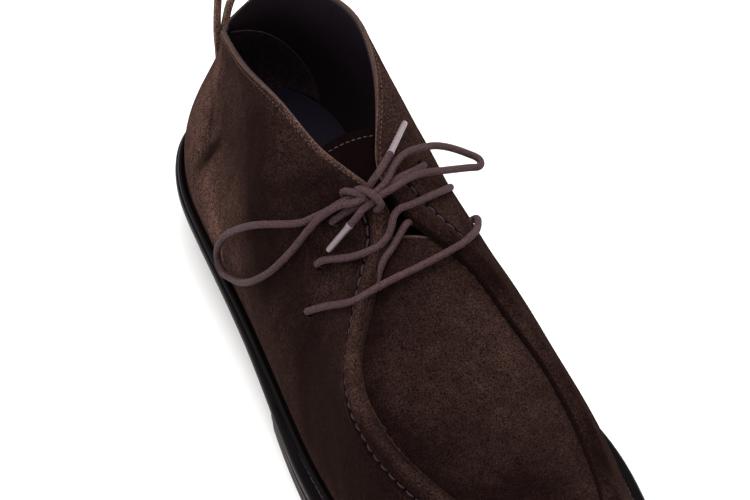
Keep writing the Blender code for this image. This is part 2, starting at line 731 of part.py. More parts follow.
def make_pull_loop():
    """A narrow strap whose two ends are sewn to the back of the heel, with softened corners."""
    line = smooth_line(PULL_LOOP, 34)
    ahead = np.gradient(line, axis=0)
    ahead /= np.linalg.norm(ahead, axis=1)[:, None]
    out = np.array([0, 1.0, 0]) - ahead * ahead[:, 1:2]
    out /= np.linalg.norm(out, axis=1)[:, None]
    over = np.cross(out, ahead)
    a, b, soft = PULL_WIDTH / 2, PULL_THICK / 2, SOFT_EDGE / 2
    corners = (
        (a, b - soft), (a - soft, b), (soft - a, b), (-a, b - soft),
        (-a, soft - b), (soft - a, -b), (a - soft, -b), (a, soft - b),
    )
    rings = np.stack([line + over * x + out * y for x, y in corners], axis=1)
    mesh = bmesh.new()
    rows = rows_of_points(mesh, rings)
    for first, second in zip(rows, rows[1:]):
        quads(mesh, first, second, closed=True)
    mesh.faces.new(rows[0])
    mesh.faces.new(rows[-1])
    return finished("pull_loop", mesh, "suede", 0.95)


def clear_scene():
    for old in list(bpy.data.objects):
        bpy.data.objects.remove(old, do_unlink=True)


def main():
    clear_scene()
    make_welt()
    make_midsole()
    make_outsole()
    make_tread()
    make_heel()
    make_insole()
    make_upper()
    make_tongue()
    make_pull_loop()
    make_lace()
    make_knot()


if __name__ == "__main__":
    main()
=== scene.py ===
"""The finish of a moc-toe derby shoe for the right foot: suede, lining, stitches, lace and sole.

The file is laid out as an add-on. Each operator makes one piece or one group of like pieces, and
main() calls them in order. Lengths are in millimetres in the shoe's own directions: "across" from
the outer (lateral) side at minus to the inner (medial) side at plus, "along" from the back of the
heel to the toe, and "height" up from the floor. They become metres when a mesh is made.
"""

import bmesh
import bpy
import numpy as np
from mathutils import Matrix, Vector


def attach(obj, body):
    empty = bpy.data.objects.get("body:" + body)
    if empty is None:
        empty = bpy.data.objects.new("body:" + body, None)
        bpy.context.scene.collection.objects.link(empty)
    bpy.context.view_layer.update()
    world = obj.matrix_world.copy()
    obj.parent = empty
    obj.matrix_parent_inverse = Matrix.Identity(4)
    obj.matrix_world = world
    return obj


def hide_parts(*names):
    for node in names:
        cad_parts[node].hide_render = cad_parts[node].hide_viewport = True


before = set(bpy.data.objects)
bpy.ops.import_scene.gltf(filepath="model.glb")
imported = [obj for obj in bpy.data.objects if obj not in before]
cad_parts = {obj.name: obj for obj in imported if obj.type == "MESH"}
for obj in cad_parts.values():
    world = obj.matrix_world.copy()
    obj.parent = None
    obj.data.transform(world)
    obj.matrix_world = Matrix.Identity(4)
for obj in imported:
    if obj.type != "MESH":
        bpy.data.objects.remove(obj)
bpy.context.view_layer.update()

bl_info = {
    "name": "Derby shoe finish",
    "version": (1, 0, 0),
    "blender": (4, 5, 0),
    "location": "3D View > Sidebar > Shoe",
    "description": "Makes the visible pieces of a suede derby shoe around its solid model",
    "category": "Object",
}

MM = 0.001
LENGTH = 305.0

# Wall and layer thicknesses, and the gap that touching pieces keep.
GAP = 0.3
WALL = 2.0
WELT_THICK = 3.5
WELT_LEDGE = 5.0
MIDSOLE_THICK = 3.0
OUTSOLE_THICK = 3.0
SOFT_EDGE = 0.8
TONGUE_THICK = 2.0
LACE_WIDTH = 2.5

# The welt's outer edge seen from above, from the heel back along the lateral side to the toe and home.
# along, across
WELT_EDGE = (
    (0, 0), (3, -13), (9, -23), (20, -31), (36, -36.8), (55, -39.6), (85, -41.3), (115, -43),
    (147, -46.2), (175, -48.9), (200, -49.5), (225, -47.5), (250, -41.5), (272, -31), (290, -17),
    (301, -3), (305, 9), (301, 20), (288, 33), (268, 43.5), (242, 50), (215, 52), (190, 49),
    (165, 42), (140, 34.5), (115, 30.5), (90, 31), (60, 33.5), (36, 33.5), (20, 29), (9, 22),
    (3, 12.5),
)
# along, height of the welt's top
WELT_TOP = (
    (0, 28), (60, 27.5), (85, 25.5), (110, 22.5), (135, 19), (155, 16), (175, 14.3), (200, 14),
    (235, 14), (255, 15), (275, 17.2), (290, 19.8), (305, 23),
)
# along, thickness of the insole, which is cushioned under the heel
INSOLE_THICK = ((0, 7), (70, 6.8), (130, 4), (160, 3), (305, 3))
# along, how far inside the welt's edge the upper stands
FEATHER_INSET = ((0, 4), (60, 4.2), (120, 5), (160, 6.3), (200, 7.3), (305, 7.3))
# along, height of the tread's underside
TREAD_FLOOR = (
    (141, 3.4), (150, 1.4), (158, 0.4), (168, 0), (238, 0), (255, 1.2), (272, 3.2), (290, 6), (305, 9.2),
)
TREAD_START = 142.0
# along, how far inside the welt's edge the outsole and the tread end
OUTSOLE_INSET = ((0, 2.5), (60, 3), (100, 3.5), (139, 3.2), (142.5, 0.5), (200, 0.3), (305, 0.3))
# along, how far inside the welt's edge the heel ends at its top and on the floor
HEEL_TOP_INSET = ((0, 2), (20, 2.6), (45, 4), (74, 5.5))
HEEL_FLOOR_INSET = ((0, 3.5), (20, 4.2), (45, 6), (74, 8))
HEEL_BREAST = 73.0

# How many points a curve is sampled at: the outline's side, its inset line, the places round the shoe
# and a given line. NUDGE is the share of the outline over which its direction is read.
SIDE_SAMPLES = 1201
INSET_SAMPLES = 1501
PLACE_SAMPLES = 801
LINE_SAMPLES = 400
NUDGE = 1e-5
UP = np.array([0, 0, 1.0])

# Stations safely behind the heel and past the toe.
BEFORE_HEEL = -9.0
PAST_TOE = LENGTH + 9.0

# Upright sections of the upper. Each runs from the feather line, at the welt's own station "foot",
# up to a point of the collar, the facing or the toe ridge. "rise" and "swell" shape its foot,
# "drop" and "spread" shape its top.
# foot, across, along, height, rise, swell, drop, spread
LATERAL_SECTIONS = (
    (0, -1.5, 10, 71.5, 18, 4, 14, 1.5),
    (10, -5, 17, 75, 18, 2.5, 15, 1),
    (22, -8.6, 27.5, 84, 19, 1.5, 17, 0.5),
    (38, -12.4, 42, 94, 20, 0.5, 20, 0),
    (54, -15, 57, 101, 22, 0, 24, 0),
    (74, -17.2, 77, 108.5, 24, 0, 26, 2),
    (90, -17.6, 92, 114, 25, 1, 26, 6),
    (104, -16.4, 103, 115.8, 26, 2, 22, 11),
    (114, -14.4, 111, 114.5, 26, 2.5, 15, 16),
    (124, -11.2, 121, 109.5, 25, 3, 8, 19),
    (133, -8.3, 129, 106.3, 24, 3, 3, 21),
    (143, -2.6, 141, 103, 23, 3, 0, 22),
    (151, 1.5, 149, 98.8, 22, 3, -1, 22),
    (160, 1.5, 157, 92, 20, 3, 0, 22),
    (170, -5.5, 165, 84, 17, 3, 0, 19),
    (181, -16, 177, 76, 15, 3, 1, 15),
    (193, -25, 190, 70, 12, 3, 1, 11),
    (208, -30.5, 206, 64, 11, 3, 1, 8.5),
    (224, -30.5, 221, 59, 10, 3, 1, 8),
    (240, -26.2, 236, 55.5, 10, 3, 1, 8.5),
    (256, -19.8, 250, 52, 10, 3, 1, 8),
    (272, -11.8, 264, 48.5, 9, 3, 1, 7),
    (290, -1, 276, 45, 9, 3, 1, 6),
    (303, 8, 281, 43.5, 9, 3, 1, 6),
)
MEDIAL_SECTIONS = (
    (8, 4, 13.3, 79, 18, 4, 15, 1.5),
    (18, 10.5, 21, 90, 20, 4, 18, 2),
    (32, 17, 33, 100, 22, 4, 22, 3),
    (48, 21.5, 47, 107, 26, 4, 26, 4),
    (66, 24.3, 64, 112.5, 30, 5, 28, 5),
    (82, 25, 80, 116.5, 32, 6, 28, 7),
    (98, 23.6, 95, 116.3, 34, 7, 24, 10),
    (110, 20.6, 107, 114.7, 36, 8, 18, 14),
    (121, 16.7, 117, 112, 38, 9, 10, 18),
    (131, 11, 128, 107.6, 39, 11, 2, 24),
    (141, 5.8, 139, 103.8, 40, 12.5, -2, 27.5),
    (151, 5.5, 149, 99, 38, 13, -2, 28),
    (160, 9.5, 157, 92, 34, 12, -2, 24.5),
    (170, 16.5, 165, 84.5, 30, 9, -1, 19),
    (181, 23, 176, 76.5, 26, 7.5, -1, 13.5),
    (193, 26.5, 190, 68.5, 22, 6.5, -1, 9.5),
    (208, 29.3, 206, 62.5, 18, 5, 0, 7),
    (224, 30.2, 221, 58.5, 14, 4, 0, 6.3),
    (240, 30, 236, 54, 12, 3, 0, 7),
    (256, 29, 251, 50, 11, 3, 0, 7),
    (272, 26, 266, 47, 10, 3, 0, 6.5),
    (290, 18, 277, 44.8, 9, 3, 1, 6),
)

# The apron starts at these feet, and its ridge comes round the toe past this one.
APRON_FOOT_LATERAL = 162
APRON_FOOT_MEDIAL = 167.5
RIDGE_TIP_FOOT = 285
# along, height of the apron's middle
APRON_CROWN = (
    (157, 89.5), (161, 87.2), (166, 84), (175, 80), (190, 74), (205, 68.5), (220, 63.5), (235, 59),
    (250, 55), (265, 50.5), (275, 46.5), (284, 41),
)

# Tongue. along, across, height, half its width
TONGUE_SECTIONS = (
    (124.5, 1.5, 107, 8),
    (126.5, 1.5, 106, 12.5),
    (130, 1.6, 104.3, 15),
    (135.5, 2.1, 101.4, 15),
    (141, 3, 98.4, 14),
    (148, 3.8, 94, 13.5),
    (157, 4.5, 85.6, 14),
    (165, 5, 79, 15.5),
    (176, 3.5, 74.4, 17),
    (190, 2.5, 69, 17),
)
TONGUE_CROWN = 0.018

# Lace. Each route is given: across, along, height, from one end to the other.
LACE_BARS = {
    "lace_bar_low": (
        (-31.1, 153.9, 64.2), (-28.8, 157, 67.1), (-24.5, 163.8, 72.9), (-19.2, 171, 78.7),
        (-13.7, 172.4, 81.4), (-7.4, 173, 83.5), (1.1, 172.7, 84.3), (8.7, 172, 84.6),
        (16.4, 170.9, 84.9), (22.4, 168.6, 83.9), (27.3, 165, 82.4), (30.9, 160.4, 79.8),
        (33, 156.1, 79), (33.7, 153.1, 77.4),
    ),
    "lace_bar_middle": (
        (-24.1, 150.1, 79.8), (-21.9, 151.5, 81.7), (-17.9, 155.2, 84), (-13.1, 159.3, 86.4),
        (-7.6, 161.7, 88.7), (-4.2, 161.9, 89.9), (-1, 160.9, 91.6), (1.2, 159.5, 94),
        (3.3, 157.4, 96), (6.3, 156.2, 96.8), (9.3, 156, 96.5), (17.6, 153.6, 94.7),
        (24.3, 150.2, 91.8), (28.2, 146.8, 88.8), (30.8, 144.2, 86.4),
    ),
    "lace_inner_strand": ((-1.8, 163.4, 87), (1, 162, 88.6), (3.6, 160.6, 90.3), (6, 159.3, 91.6)),
    "lace_left_strand": ((-15.8, 147.5, 93.2), (-14.2, 148, 94.2), (-10, 149.1, 96.9), (-8, 149.7, 97.9)),
    "lace_right_strand": (
        (22.7, 141.2, 97.8), (19.4, 143.8, 99.2), (14.6, 146.1, 100.9), (9.2, 147.9, 101.9),
        (5.8, 149.1, 101.9),
    ),
}
LACE_BOW = {
    "lace_left_loop": (
        (-8.5, 150.9, 101.4), (-11, 149.6, 100.9), (-13.9, 148.4, 99.7), (-19.3, 146.4, 95.6),
        (-25.4, 143, 86.1), (-31.1, 139.1, 76.3), (-36, 133.2, 66.6), (-39.4, 126, 58.5),
        (-40, 117.5, 50.7), (-39.9, 106, 41.5), (-39.7, 95.5, 34.5), (-39.6, 87.8, 31),
        (-39.1, 84.2, 34), (-38.4, 87.6, 43.2), (-37.3, 94.5, 52.8), (-36.6, 103.5, 62.2),
        (-34.2, 120.7, 78.1), (-28.9, 132.8, 86.2), (-23.3, 140, 90.4), (-20.7, 141.9, 92.5),
        (-15.4, 144.9, 96.2), (-11.5, 146.1, 98.7), (-8, 147.6, 100.4),
    ),
    "lace_right_loop": (
        (4.6, 150.2, 105.2), (7.7, 146.7, 105), (14.1, 142.4, 106), (20.8, 141, 105),
        (27.5, 138.4, 101), (34.3, 137.9, 96), (39.4, 138.1, 91.4), (40.9, 138.9, 90.4),
        (41.9, 140.2, 89.4), (41.4, 141.9, 88.9), (39.9, 142.8, 89.2),
        (37.9, 142.9, 90), (32.5, 144.3, 93), (26.2, 146.3, 96.7), (16.7, 149.7, 102.2),
        (9.4, 152.7, 104.6), (4.2, 153.9, 104.2),
    ),
    "lace_left_end": ((-6.6, 154, 99.8), (-8.4, 154.3, 98.3), (-10.2, 154.3, 96.6), (-11.7, 154, 95)),
    "lace_right_end": (
        (-0.9, 150.1, 106.3), (1.4, 149.6, 108.2), (3.8, 148, 108.9), (7, 144.5, 108.2),
        (10.4, 140.7, 107.4),
    ),
}
# Each lace tip runs on from its end to here.
LACE_TIPS = {"lace_left_end": (-19.8, 152.7, 86.3), "lace_right_end": (20.8, 129.2, 107.4)}

# Pull loop at the heel: across, along, height, up one leg and down the other.
PULL_LOOP = (
    (-4.2, 4.4, 52), (-4.2, 5.4, 57), (-4.1, 5.9, 62), (-3.8, 6.0, 66), (-2.6, 5.8, 74), (-1.3, 5.6, 81),
    (-0.4, 5.6, 88), (0.6, 5.8, 95), (4.2, 6.1, 100), (8.4, 6.3, 97), (9.2, 6.5, 90.5), (6.3, 6.6, 83.5),
    (2.8, 6.5, 77.8), (0.3, 6.4, 71), (-0.9, 6.0, 65.5), (-1.0, 5.4, 60), (-1.1, 4.6, 56), (-1.1, 3.7, 52),
)
PULL_WIDTH = 2.6
PULL_THICK = 2.2

# How far the rolled seam reaches past the upper's own top edge: along, reach, on each side.
SEAM_REACH_LATERAL = (
    (150, 0), (165, -1.5), (185, -1.5), (200, 0), (212, 2.2), (232, 3), (255, 3), (281, 2),
)
SEAM_REACH_MEDIAL = ((150, 0), (230, 0), (255, 1), (281, 2))
# The collar's cut edge turns into the rolled seam between these stations.
SEAM_START = 147.5
SEAM_FULL = 151.5
# The inner row of stitches shows from here on, on the lateral and on the medial side.
INNER_STITCH_START = (212.0, 172.0)
# Beside the seam, the groove that its stitches pull in and the cut ledge past it.
LEDGE_WIDTH = 2.2
LEDGE_HEIGHT = 0.5
GROOVE_DEPTH = 1.4
# The medial wall falls in below the seam: along, depth.
SEAM_HOLLOW = ((158, 0), (176, 1.2), (200, 2.2), (240, 2.0), (270, 1.0), (281, 0))
HOLLOW_REACH = 30.0

# Soft folds pressed into the upper: across, along and height at both ends, half width, and depth,
# which is minus where the fold stands out.
FOLDS = (
    ((-29, 26, 62), (-34, 34, 38), 5.0, 0.5),
    ((-20.4, 42.7, 69.8), (-27, 52.7, 58.7), 2.4, 1.0),
    ((-22, 38, 64), (-28, 46, 53), 4.0, -0.6),
    ((-25.7, 61.7, 66), (-32.2, 47.7, 43), 3.0, 1.2),
    ((-29, 66, 60), (-35, 56, 38), 4.0, -0.4),
    ((-25, 38, 78), (-37, 48, 45), 6.0, -0.4),
    ((-22, 100, 100), (-36, 128, 60), 7.0, 0.6),
    ((-30, 118, 80), (-42, 140, 40), 6.0, -0.5),
    ((-36, 158, 54), (-46, 172, 26), 6.0, 0.6),
    ((-40, 184, 46), (-47, 198, 24), 6.0, 0.4),
    ((30, 96, 96), (33, 118, 56), 8.0, 0.6),
    ((34, 128, 70), (40, 150, 36), 7.0, 0.5),
    ((38, 172, 52), (46, 188, 26), 6.0, 0.5),
    ((-14, 196, 66), (16, 201, 65), 6.0, 0.35),
)

# Where the suede is painted lighter or darker, partly for the nap's brushing and partly as painted light
# and shade, such as the light on the heel and the shade under the rim and on the toe: across, along,
# height, radius, amount.
TONE_SPOTS = (
    (-22, 34, 52, 22, 1.35), (-34, 72, 34, 22, 1.2), (-31, 63, 50, 7, 0.6), (-13, 34, 77, 10, 1.1),
    (-16, 52, 84, 14, 0.2), (-30, 92, 58, 16, 0.45), (-36, 75, 36, 9, 0.35), (-37, 103, 38, 10, 0.4),
    (-19, 69, 88, 8, 0.3), (-19, 100, 99, 12, -0.15), (-27, 108, 80, 18, -0.1), (-24, 126, 88, 20, -0.1),
    (-8, 140, 102, 16, -0.14), (-24, 156, 71, 8, 0.3), (-34, 148, 62, 22, -0.15), (-40, 138, 34, 22, 0.08),
    (-44, 176, 38, 26, -0.18), (-34, 180, 56, 12, -0.12), (-36.5, 214, 55, 20, -0.25),
    (-44, 222, 40, 36, -0.25), (-33, 224, 56, 12, -0.15), (-28, 188, 68, 6, 0.15), (24, 108, 100, 26, 0.3),
    (22, 148, 92, 12, 0.2), (24, 178, 76, 15, -0.12), (-30, 200, 64, 18, 0.08), (2, 253, 54, 18, -0.28),
    (-20, 215, 62, 10, 0.18), (22, 195, 68, 9, 0.15), (20, 246, 53, 12, 0.06), (33, 252, 52, 8, -0.15),
    (4, 205, 68, 26, 0.1), (-12, 172, 80, 14, -0.12),
)

# Eyelets, from the top one down on the lateral side and then on the medial side: across, along, height
# of the hole, and the way that it faces.
EYELETS = (
    ((-14.4, 146.3, 91.9), (-0.62, 0.55, 0.57)),
    ((-22.3, 149.2, 78.6), (-0.77, 0.42, 0.49)),
    ((-29.2, 153.4, 63.2), (-0.88, 0.22, 0.43)),
    ((21.2, 140.4, 96.3), (0.66, 0.31, 0.68)),
    ((28.8, 143.0, 84.6), (0.88, 0.13, 0.46)),
    ((31.6, 152.8, 76.3), (0.89, 0.13, 0.43)),
)

# The knot's two visible turns and how each cord passes through it.
KNOT_WRAP = (
    (-4.6, 146.6, 101.2), (-5.2, 147.8, 103.4), (-4.2, 151.0, 105.6), (-3.2, 153.8, 106.3),
    (-2.2, 156.0, 105.8), (-1.3, 157.4, 104.2), (-1.0, 157.0, 101.6), (-2.0, 154.8, 98.8),
)
KNOT_EAR = (
    (-3.7, 152.4, 103.6), (-6.0, 149.7, 103.6), (-8.0, 146.6, 103.0), (-9.2, 144.6, 101.4),
    (-8.6, 145.2, 99.8), (-6.2, 148.2, 100.0), (-3.4, 151.0, 100.2),
)
KNOT_EXIT_LEFT = ((-3.6, 152.2, 102.6), (-6.2, 151.7, 102.3))
KNOT_EXIT_RIGHT = ((-1.6, 152.6, 103.4), (1.6, 151.8, 104.6))
THROUGH_KNOT_UP = ((-5.0, 149.3, 101.8), (-2.6, 150.2, 103.8))
THROUGH_KNOT_DOWN = ((0.6, 154.0, 103.4), (-3.2, 154.3, 101.8))

# The camera's place, its right, up and back directions, and the length of its lens.
CAMERA_PLACE = (-268.0, -781.6, 869.0)
CAMERA_AXES = ((0.9127, -0.3987, -0.0900), (0.3374, 0.6106, 0.7165), (-0.2307, -0.6843, 0.6918))
CAMERA_LENS = 164.2


def measure(name, description, value):
    return bpy.props.FloatProperty(name=name, description=description, default=value, unit="LENGTH")


def colour(name, description, value):
    return bpy.props.FloatVectorProperty(
        name=name, description=description, default=value, size=3, min=0, max=1, subtype="COLOR"
    )


class ShoeSizes(bpy.types.PropertyGroup):
    """Sizes that a user would change."""

    ridge_width: measure("Ridge width", "Width of the rolled seam", 0.0072)
    ridge_crown: measure("Ridge crown", "Height of the rolled seam", 0.0027)
    hand_pitch: measure("Hand stitch pitch", "From one hand stitch to the next", 0.0043)
    collar_pitch: measure("Collar stitch pitch", "From one collar stitch to the next", 0.0020)
    welt_pitch: measure("Welt stitch pitch", "From one welt stitch to the next", 0.0024)
    braid_relief: measure("Braid relief", "How far the lace's strands stand out", 0.00007)
    eyelet_radius: measure("Eyelet radius", "Radius of the punched lace holes", 0.0021)


class ShoeColours(bpy.types.PropertyGroup):
    """Colours that a user would change."""

    suede: colour("Suede", "Brushed-down nap", (0.0030, 0.0013, 0.0014))
    suede_light: colour("Light suede", "Brushed-up nap", (0.0365, 0.0193, 0.0158))
    raw_edge: colour("Cut edge", "Cut edges of the suede", (0.060, 0.037, 0.031))
    lining: colour("Lining", "Lining leather", (0.0105, 0.0068, 0.0098))
    grip: colour("Heel grip", "Brushed patch inside the heel", (0.034, 0.022, 0.026))
    sock: colour("Sock", "Insole cover", (0.0092, 0.0065, 0.0145))
    rubber: colour("Rubber", "Welt and heel", (0.0026, 0.0016, 0.0023))
    outsole: colour("Outsole", "Midsole, outsole and tread", (0.022, 0.012, 0.012))
    lace: colour("Lace", "Waxed cotton lace", (0.0085, 0.0038, 0.0046))
    lace_fleck: colour("Lace fleck", "Lit strands of the lace", (0.17, 0.099, 0.107))
    hand_thread: colour("Hand thread", "Thread of the apron's seam", (0.034, 0.021, 0.029))
    # The tongue's two colours are darkened as painted shade, for the shade that falls on the tongue inside
    # the throat.
    shaded_tongue_dark: colour("Tongue shade", "Tongue leather between its fibres", (0.0018, 0.0009, 0.0010))
    shaded_tongue_nap: colour("Tongue nap", "Tongue leather's lit fibres", (0.0045, 0.0022, 0.0024))
    shaded_thread: colour("Shaded thread", "Thread down beside the apron", (0.010, 0.006, 0.010))
    collar_thread: colour("Collar thread", "Thread along the collar", (0.072, 0.047, 0.040))
    welt_thread: colour("Welt thread", "Thread of the welt", (0.030, 0.020, 0.026))
    tip: colour("Lace tip", "Wrapped lace tips", (0.170, 0.125, 0.145))


def sizes():
    return bpy.context.scene.shoe_sizes


def ridge_width():
    return sizes().ridge_width / MM


def monotone(table, at):
    """Heights or insets read smoothly from a table, never past the rows on either side."""
    rows = np.array(table, float)
    x, y = rows[:, 0], rows[:, 1]
    step, rise = np.diff(x), np.diff(y) / np.diff(x)
    slope = np.zeros(len(x))
    same = rise[:-1] * rise[1:] > 0
    left, right = 2 * step[1:] + step[:-1], step[1:] + 2 * step[:-1]
    mean = (left + right) / (left / np.where(same, rise[:-1], 1) + right / np.where(same, rise[1:], 1))
    slope[1:-1] = np.where(same, mean, 0)
    slope[0], slope[-1] = rise[0], rise[-1]
    at = np.clip(at, x[0], x[-1])
    i = np.clip(np.searchsorted(x, at, side="right") - 1, 0, len(step) - 1)
    return hermite(y, slope, step, i, (at - x[i]) / step[i])


def hermite(values, slopes, steps, i, t):
    """The cubic between rows i and i + 1, a share t of the way."""
    a, b = values[i], values[i + 1]
    u, v = slopes[i], slopes[i + 1]
    h = steps[i]
    if values.ndim == 2:
        t, h = t[:, None], h[:, None]
    return (
        (2 * t**3 - 3 * t**2 + 1) * a
        + (t**3 - 2 * t**2 + t) * h * u
        + (3 * t**2 - 2 * t**3) * b
        + (t**3 - t**2) * h * v
    )


def round_loop(knots, rows, period, at):
    """A smooth closed curve through the rows, which stand at those knots of the period."""
    n = len(knots)
    step = np.diff(np.append(knots, knots[0] + period))
    system, right = np.zeros((n, n)), np.zeros_like(rows)
    for i in range(n):
        before, after = step[i - 1], step[i]
        system[i, i - 1] += 1 / before
        system[i, i] += 2 / before + 2 / after
        system[i, (i + 1) % n] += 1 / after
        right[i] = 3 * (
            (rows[i] - rows[i - 1]) / before**2 + (rows[(i + 1) % n] - rows[i]) / after**2
        )
    slope = np.linalg.solve(system, right)
    at = knots[0] + np.mod(at - knots[0], period)
    i = np.clip(np.searchsorted(knots, at, side="right") - 1, 0, n - 1)
    values, slopes = np.vstack([rows, rows[:1]]), np.vstack([slope, slope[:1]])
    return hermite(values, slopes, step, i, (at - knots[i]) / step[i])


def knots_of(rows):
    """Knots of a closed curve through the rows, spaced by the roots of their gaps, and its period."""
    gaps = np.sqrt(np.linalg.norm(np.diff(np.vstack([rows, rows[:1]]), axis=0), axis=1))
    return np.concatenate([[0], np.cumsum(gaps)[:-1]]), gaps.sum()


def run_of(line):
    """How far each point of a line lies along it, or each row of points of many lines side by side."""
    steps = np.linalg.norm(np.diff(line, axis=0), axis=-1)
    return np.concatenate([0 * steps[:1], np.cumsum(steps, axis=0)])


def smooth_line(points, count):
    """Evenly spaced points on a smooth open curve through the given ones."""
    rows = np.array(points, float)
    there_and_back = np.concatenate([rows, rows[-2:0:-1]])
    knots, period = knots_of(there_and_back)
    fine = round_loop(knots, there_and_back, period, np.linspace(0, knots[len(rows) - 1], LINE_SAMPLES))
    far = run_of(fine)
    even = np.linspace(0, far[-1], count)
    return np.stack([np.interp(even, far, fine[:, k]) for k in range(3)], axis=1)


class Outline:
    """The welt's edge as a closed curve, and lines inside it."""

    def __init__(self):
        self.rows = np.array(WELT_EDGE, float)
        self.knots, self.period = knots_of(self.rows)
        place = np.linspace(0, self.period, 2 * SIDE_SAMPLES - 1)
        edge = self.at(place)[0]
        self.toe = place[np.argmax(edge[:, 0])]
        self.middle = (edge[:, 1].max() + edge[:, 1].min()) / 2

    def at(self, place):
        """Points (along, across) of the edge, and its outward directions."""
        nudge = self.period * NUDGE
        here = round_loop(self.knots, self.rows, self.period, place)
        ahead = round_loop(self.knots, self.rows, self.period, place + nudge)
        back = round_loop(self.knots, self.rows, self.period, place - nudge)
        along = ahead - back
        along /= np.linalg.norm(along, axis=1)[:, None]
        return here, np.stack([along[:, 1], -along[:, 0]], axis=1)

    def inside(self, place, inset):
        """Points of the line that lies that far inside the edge; the inset is a number or a table."""
        here, out = self.at(place)
        if not np.isscalar(inset):
            inset = monotone(inset, here[:, 0])[:, None]
        return here - out * inset, out

    def place_of(self, along, lateral):
        """Where on the lateral or the medial side the edge passes that station."""
        place = np.linspace(*((0, self.toe) if lateral else (self.toe, self.period)), SIDE_SAMPLES)
        reached = self.at(place)[0][:, 0]
        order = np.argsort(reached)
        return np.interp(along, reached[order], place[order])

    def lateral(self, place):
        """Whether places are on the lateral side."""
        return place % self.period < self.toe

    def both_sides(self, inset, start, end, count):
        """Points on an inset line at the same stations: a lateral row and a medial row.

        The stations crowd together where the line turns round the heel or the toe.
        """
        sides = []
        for ends in ((0, self.toe), (self.toe, self.period)):
            line = self.inside(np.linspace(*ends, INSET_SAMPLES), inset)[0]
            sides.append(line[np.argsort(line[:, 0])])
        low = max(start, sides[0][0, 0], sides[1][0, 0])
        high = min(end, sides[0][-1, 0], sides[1][-1, 0])
        first = 0 if low > start else np.pi / 2
        last = np.pi if high < end else np.pi / 2
        spread = -np.cos(np.linspace(first, last, count))
        stations = low + (high - low) * (spread - spread[0]) / (spread[-1] - spread[0])
        return [np.stack([stations, np.interp(stations, *side.T)], axis=1) for side in sides]


OUTLINE = Outline()


def in_metres(points):
    """World places of (across, along, height) points."""
    points = np.asarray(points, float)
    return np.stack(
        [
            (points[..., 0] - OUTLINE.middle) * MM,
            (LENGTH / 2 - points[..., 1]) * MM,
            points[..., 2] * MM,
        ],
        axis=-1,
    )


def level(inset, height, start=BEFORE_HEEL, end=PAST_TOE, count=120):
    """One level of a slab: its outline's two sides, with the height read from a function."""
    made = []
    for side in OUTLINE.both_sides(inset, start, end, count):
        made.append(np.stack([side[:, 1], side[:, 0], height(side[:, 0])], axis=1))
    return made


def welt_top(along):
    return monotone(WELT_TOP, along)


def below_welt(depth):
    return lambda along: welt_top(along) - depth


def insole_top(drop):
    """The insole's top, that far down, as a function of the place along the shoe."""
    return lambda along: welt_top(along) + GAP + monotone(INSOLE_THICK, along) - drop


def deeper(table, more):
    return tuple((along, inset + more) for along, inset in table)


class Upper:
    """The upper's outer surface, worked out from its sections."""

    def __init__(self):
        places, rows = [], []
        for sections, lateral in ((LATERAL_SECTIONS, True), (MEDIAL_SECTIONS[::-1], False)):
            for foot, *rest in sections:
                places.append(float(OUTLINE.place_of(foot, lateral)))
                rows.append(rest)
        self.knots = np.array(places)
        self.rows = np.array(rows, float)

    def sections(self, place):
        return round_loop(self.knots, self.rows, OUTLINE.period, place)

    def wall(self, place, share):
        """Points at those shares of the way up each section; the result is shares by places."""
        foot, out = OUTLINE.inside(place, FEATHER_INSET)
        rows = self.sections(place)
        base = np.stack([foot[:, 1], foot[:, 0], welt_top(foot[:, 0]) + GAP], axis=1)
        out = np.stack([out[:, 1], out[:, 0], 0 * out[:, 0]], axis=1)
        top = rows[:, :3]
        rise, swell, drop, spread = (rows[:, k, None] for k in range(3, 7))
        low, high = base + rise * UP + swell * out, top - drop * UP + spread * out
        t = np.asarray(share, float)[:, None, None]
        return (
            (1 - t) ** 3 * base
            + 3 * (1 - t) ** 2 * t * low
            + 3 * (1 - t) * t**2 * high
            + t**3 * top
        )

    def even_places(self, start, end, count):
        """Places between two others, evenly spaced by the wall's mean length."""
        fine = np.linspace(start, end, PLACE_SAMPLES)
        lines = self.wall(fine, (0, 0.5, 1))
        far = np.linalg.norm(np.diff(lines, axis=1), axis=2).mean(axis=0)
        far = np.concatenate([[0], np.cumsum(far)])
        return np.interp(np.linspace(0, far[-1], count), far, fine)

    def ridge_tip(self):
        """The place where the ridge is nearest the toe."""
        start, end = (OUTLINE.place_of(RIDGE_TIP_FOOT, lateral) for lateral in (True, False))
        fine = np.linspace(start, end, PLACE_SAMPLES)
        return fine[np.argmax(self.sections(fine)[:, 1])]


def ease(value, start, end):
    """0 before start, 1 after end, and a smooth step between them."""
    t = np.clip((value - start) / (end - start), 0, 1)
    return t * t * (3 - 2 * t)


def bump_at(value, middle, half):
    """A soft ridge of height 1 and that half width."""
    return np.exp(-(((value - middle) / half) ** 2))


def unit(rows):
    return rows / np.maximum(np.linalg.norm(rows, axis=-1, keepdims=True), 1e-9)


# Shader parts


def node(tree, kind, inputs=None, **settings):
    """A node with its settings, and its inputs set to values or linked to sockets."""
    made = tree.nodes.new(kind)
    for key, value in settings.items():
        setattr(made, key, value)
    for key, value in (inputs or {}).items():
        if isinstance(value, bpy.types.NodeSocket):
            tree.links.new(value, made.inputs[key])
        else:
            made.inputs[key].default_value = value
    return made


def maths(tree, operation, first, second=0.0, third=0.0):
    return node(tree, "ShaderNodeMath", {0: first, 1: second, 2: third}, operation=operation).outputs[0]


def noise(tree, place, scale, detail, roughness=0.5, distortion=0.0):
    return node(tree, "ShaderNodeTexNoise", {"Vector": place, "Scale": scale, "Detail": detail,
                "Roughness": roughness, "Distortion": distortion}).outputs[0]


def swing(tree, value, amount, middle=0.5):
    """The value's way from its middle, times an amount."""
    return maths(tree, "MULTIPLY", maths(tree, "SUBTRACT", value, middle), amount)


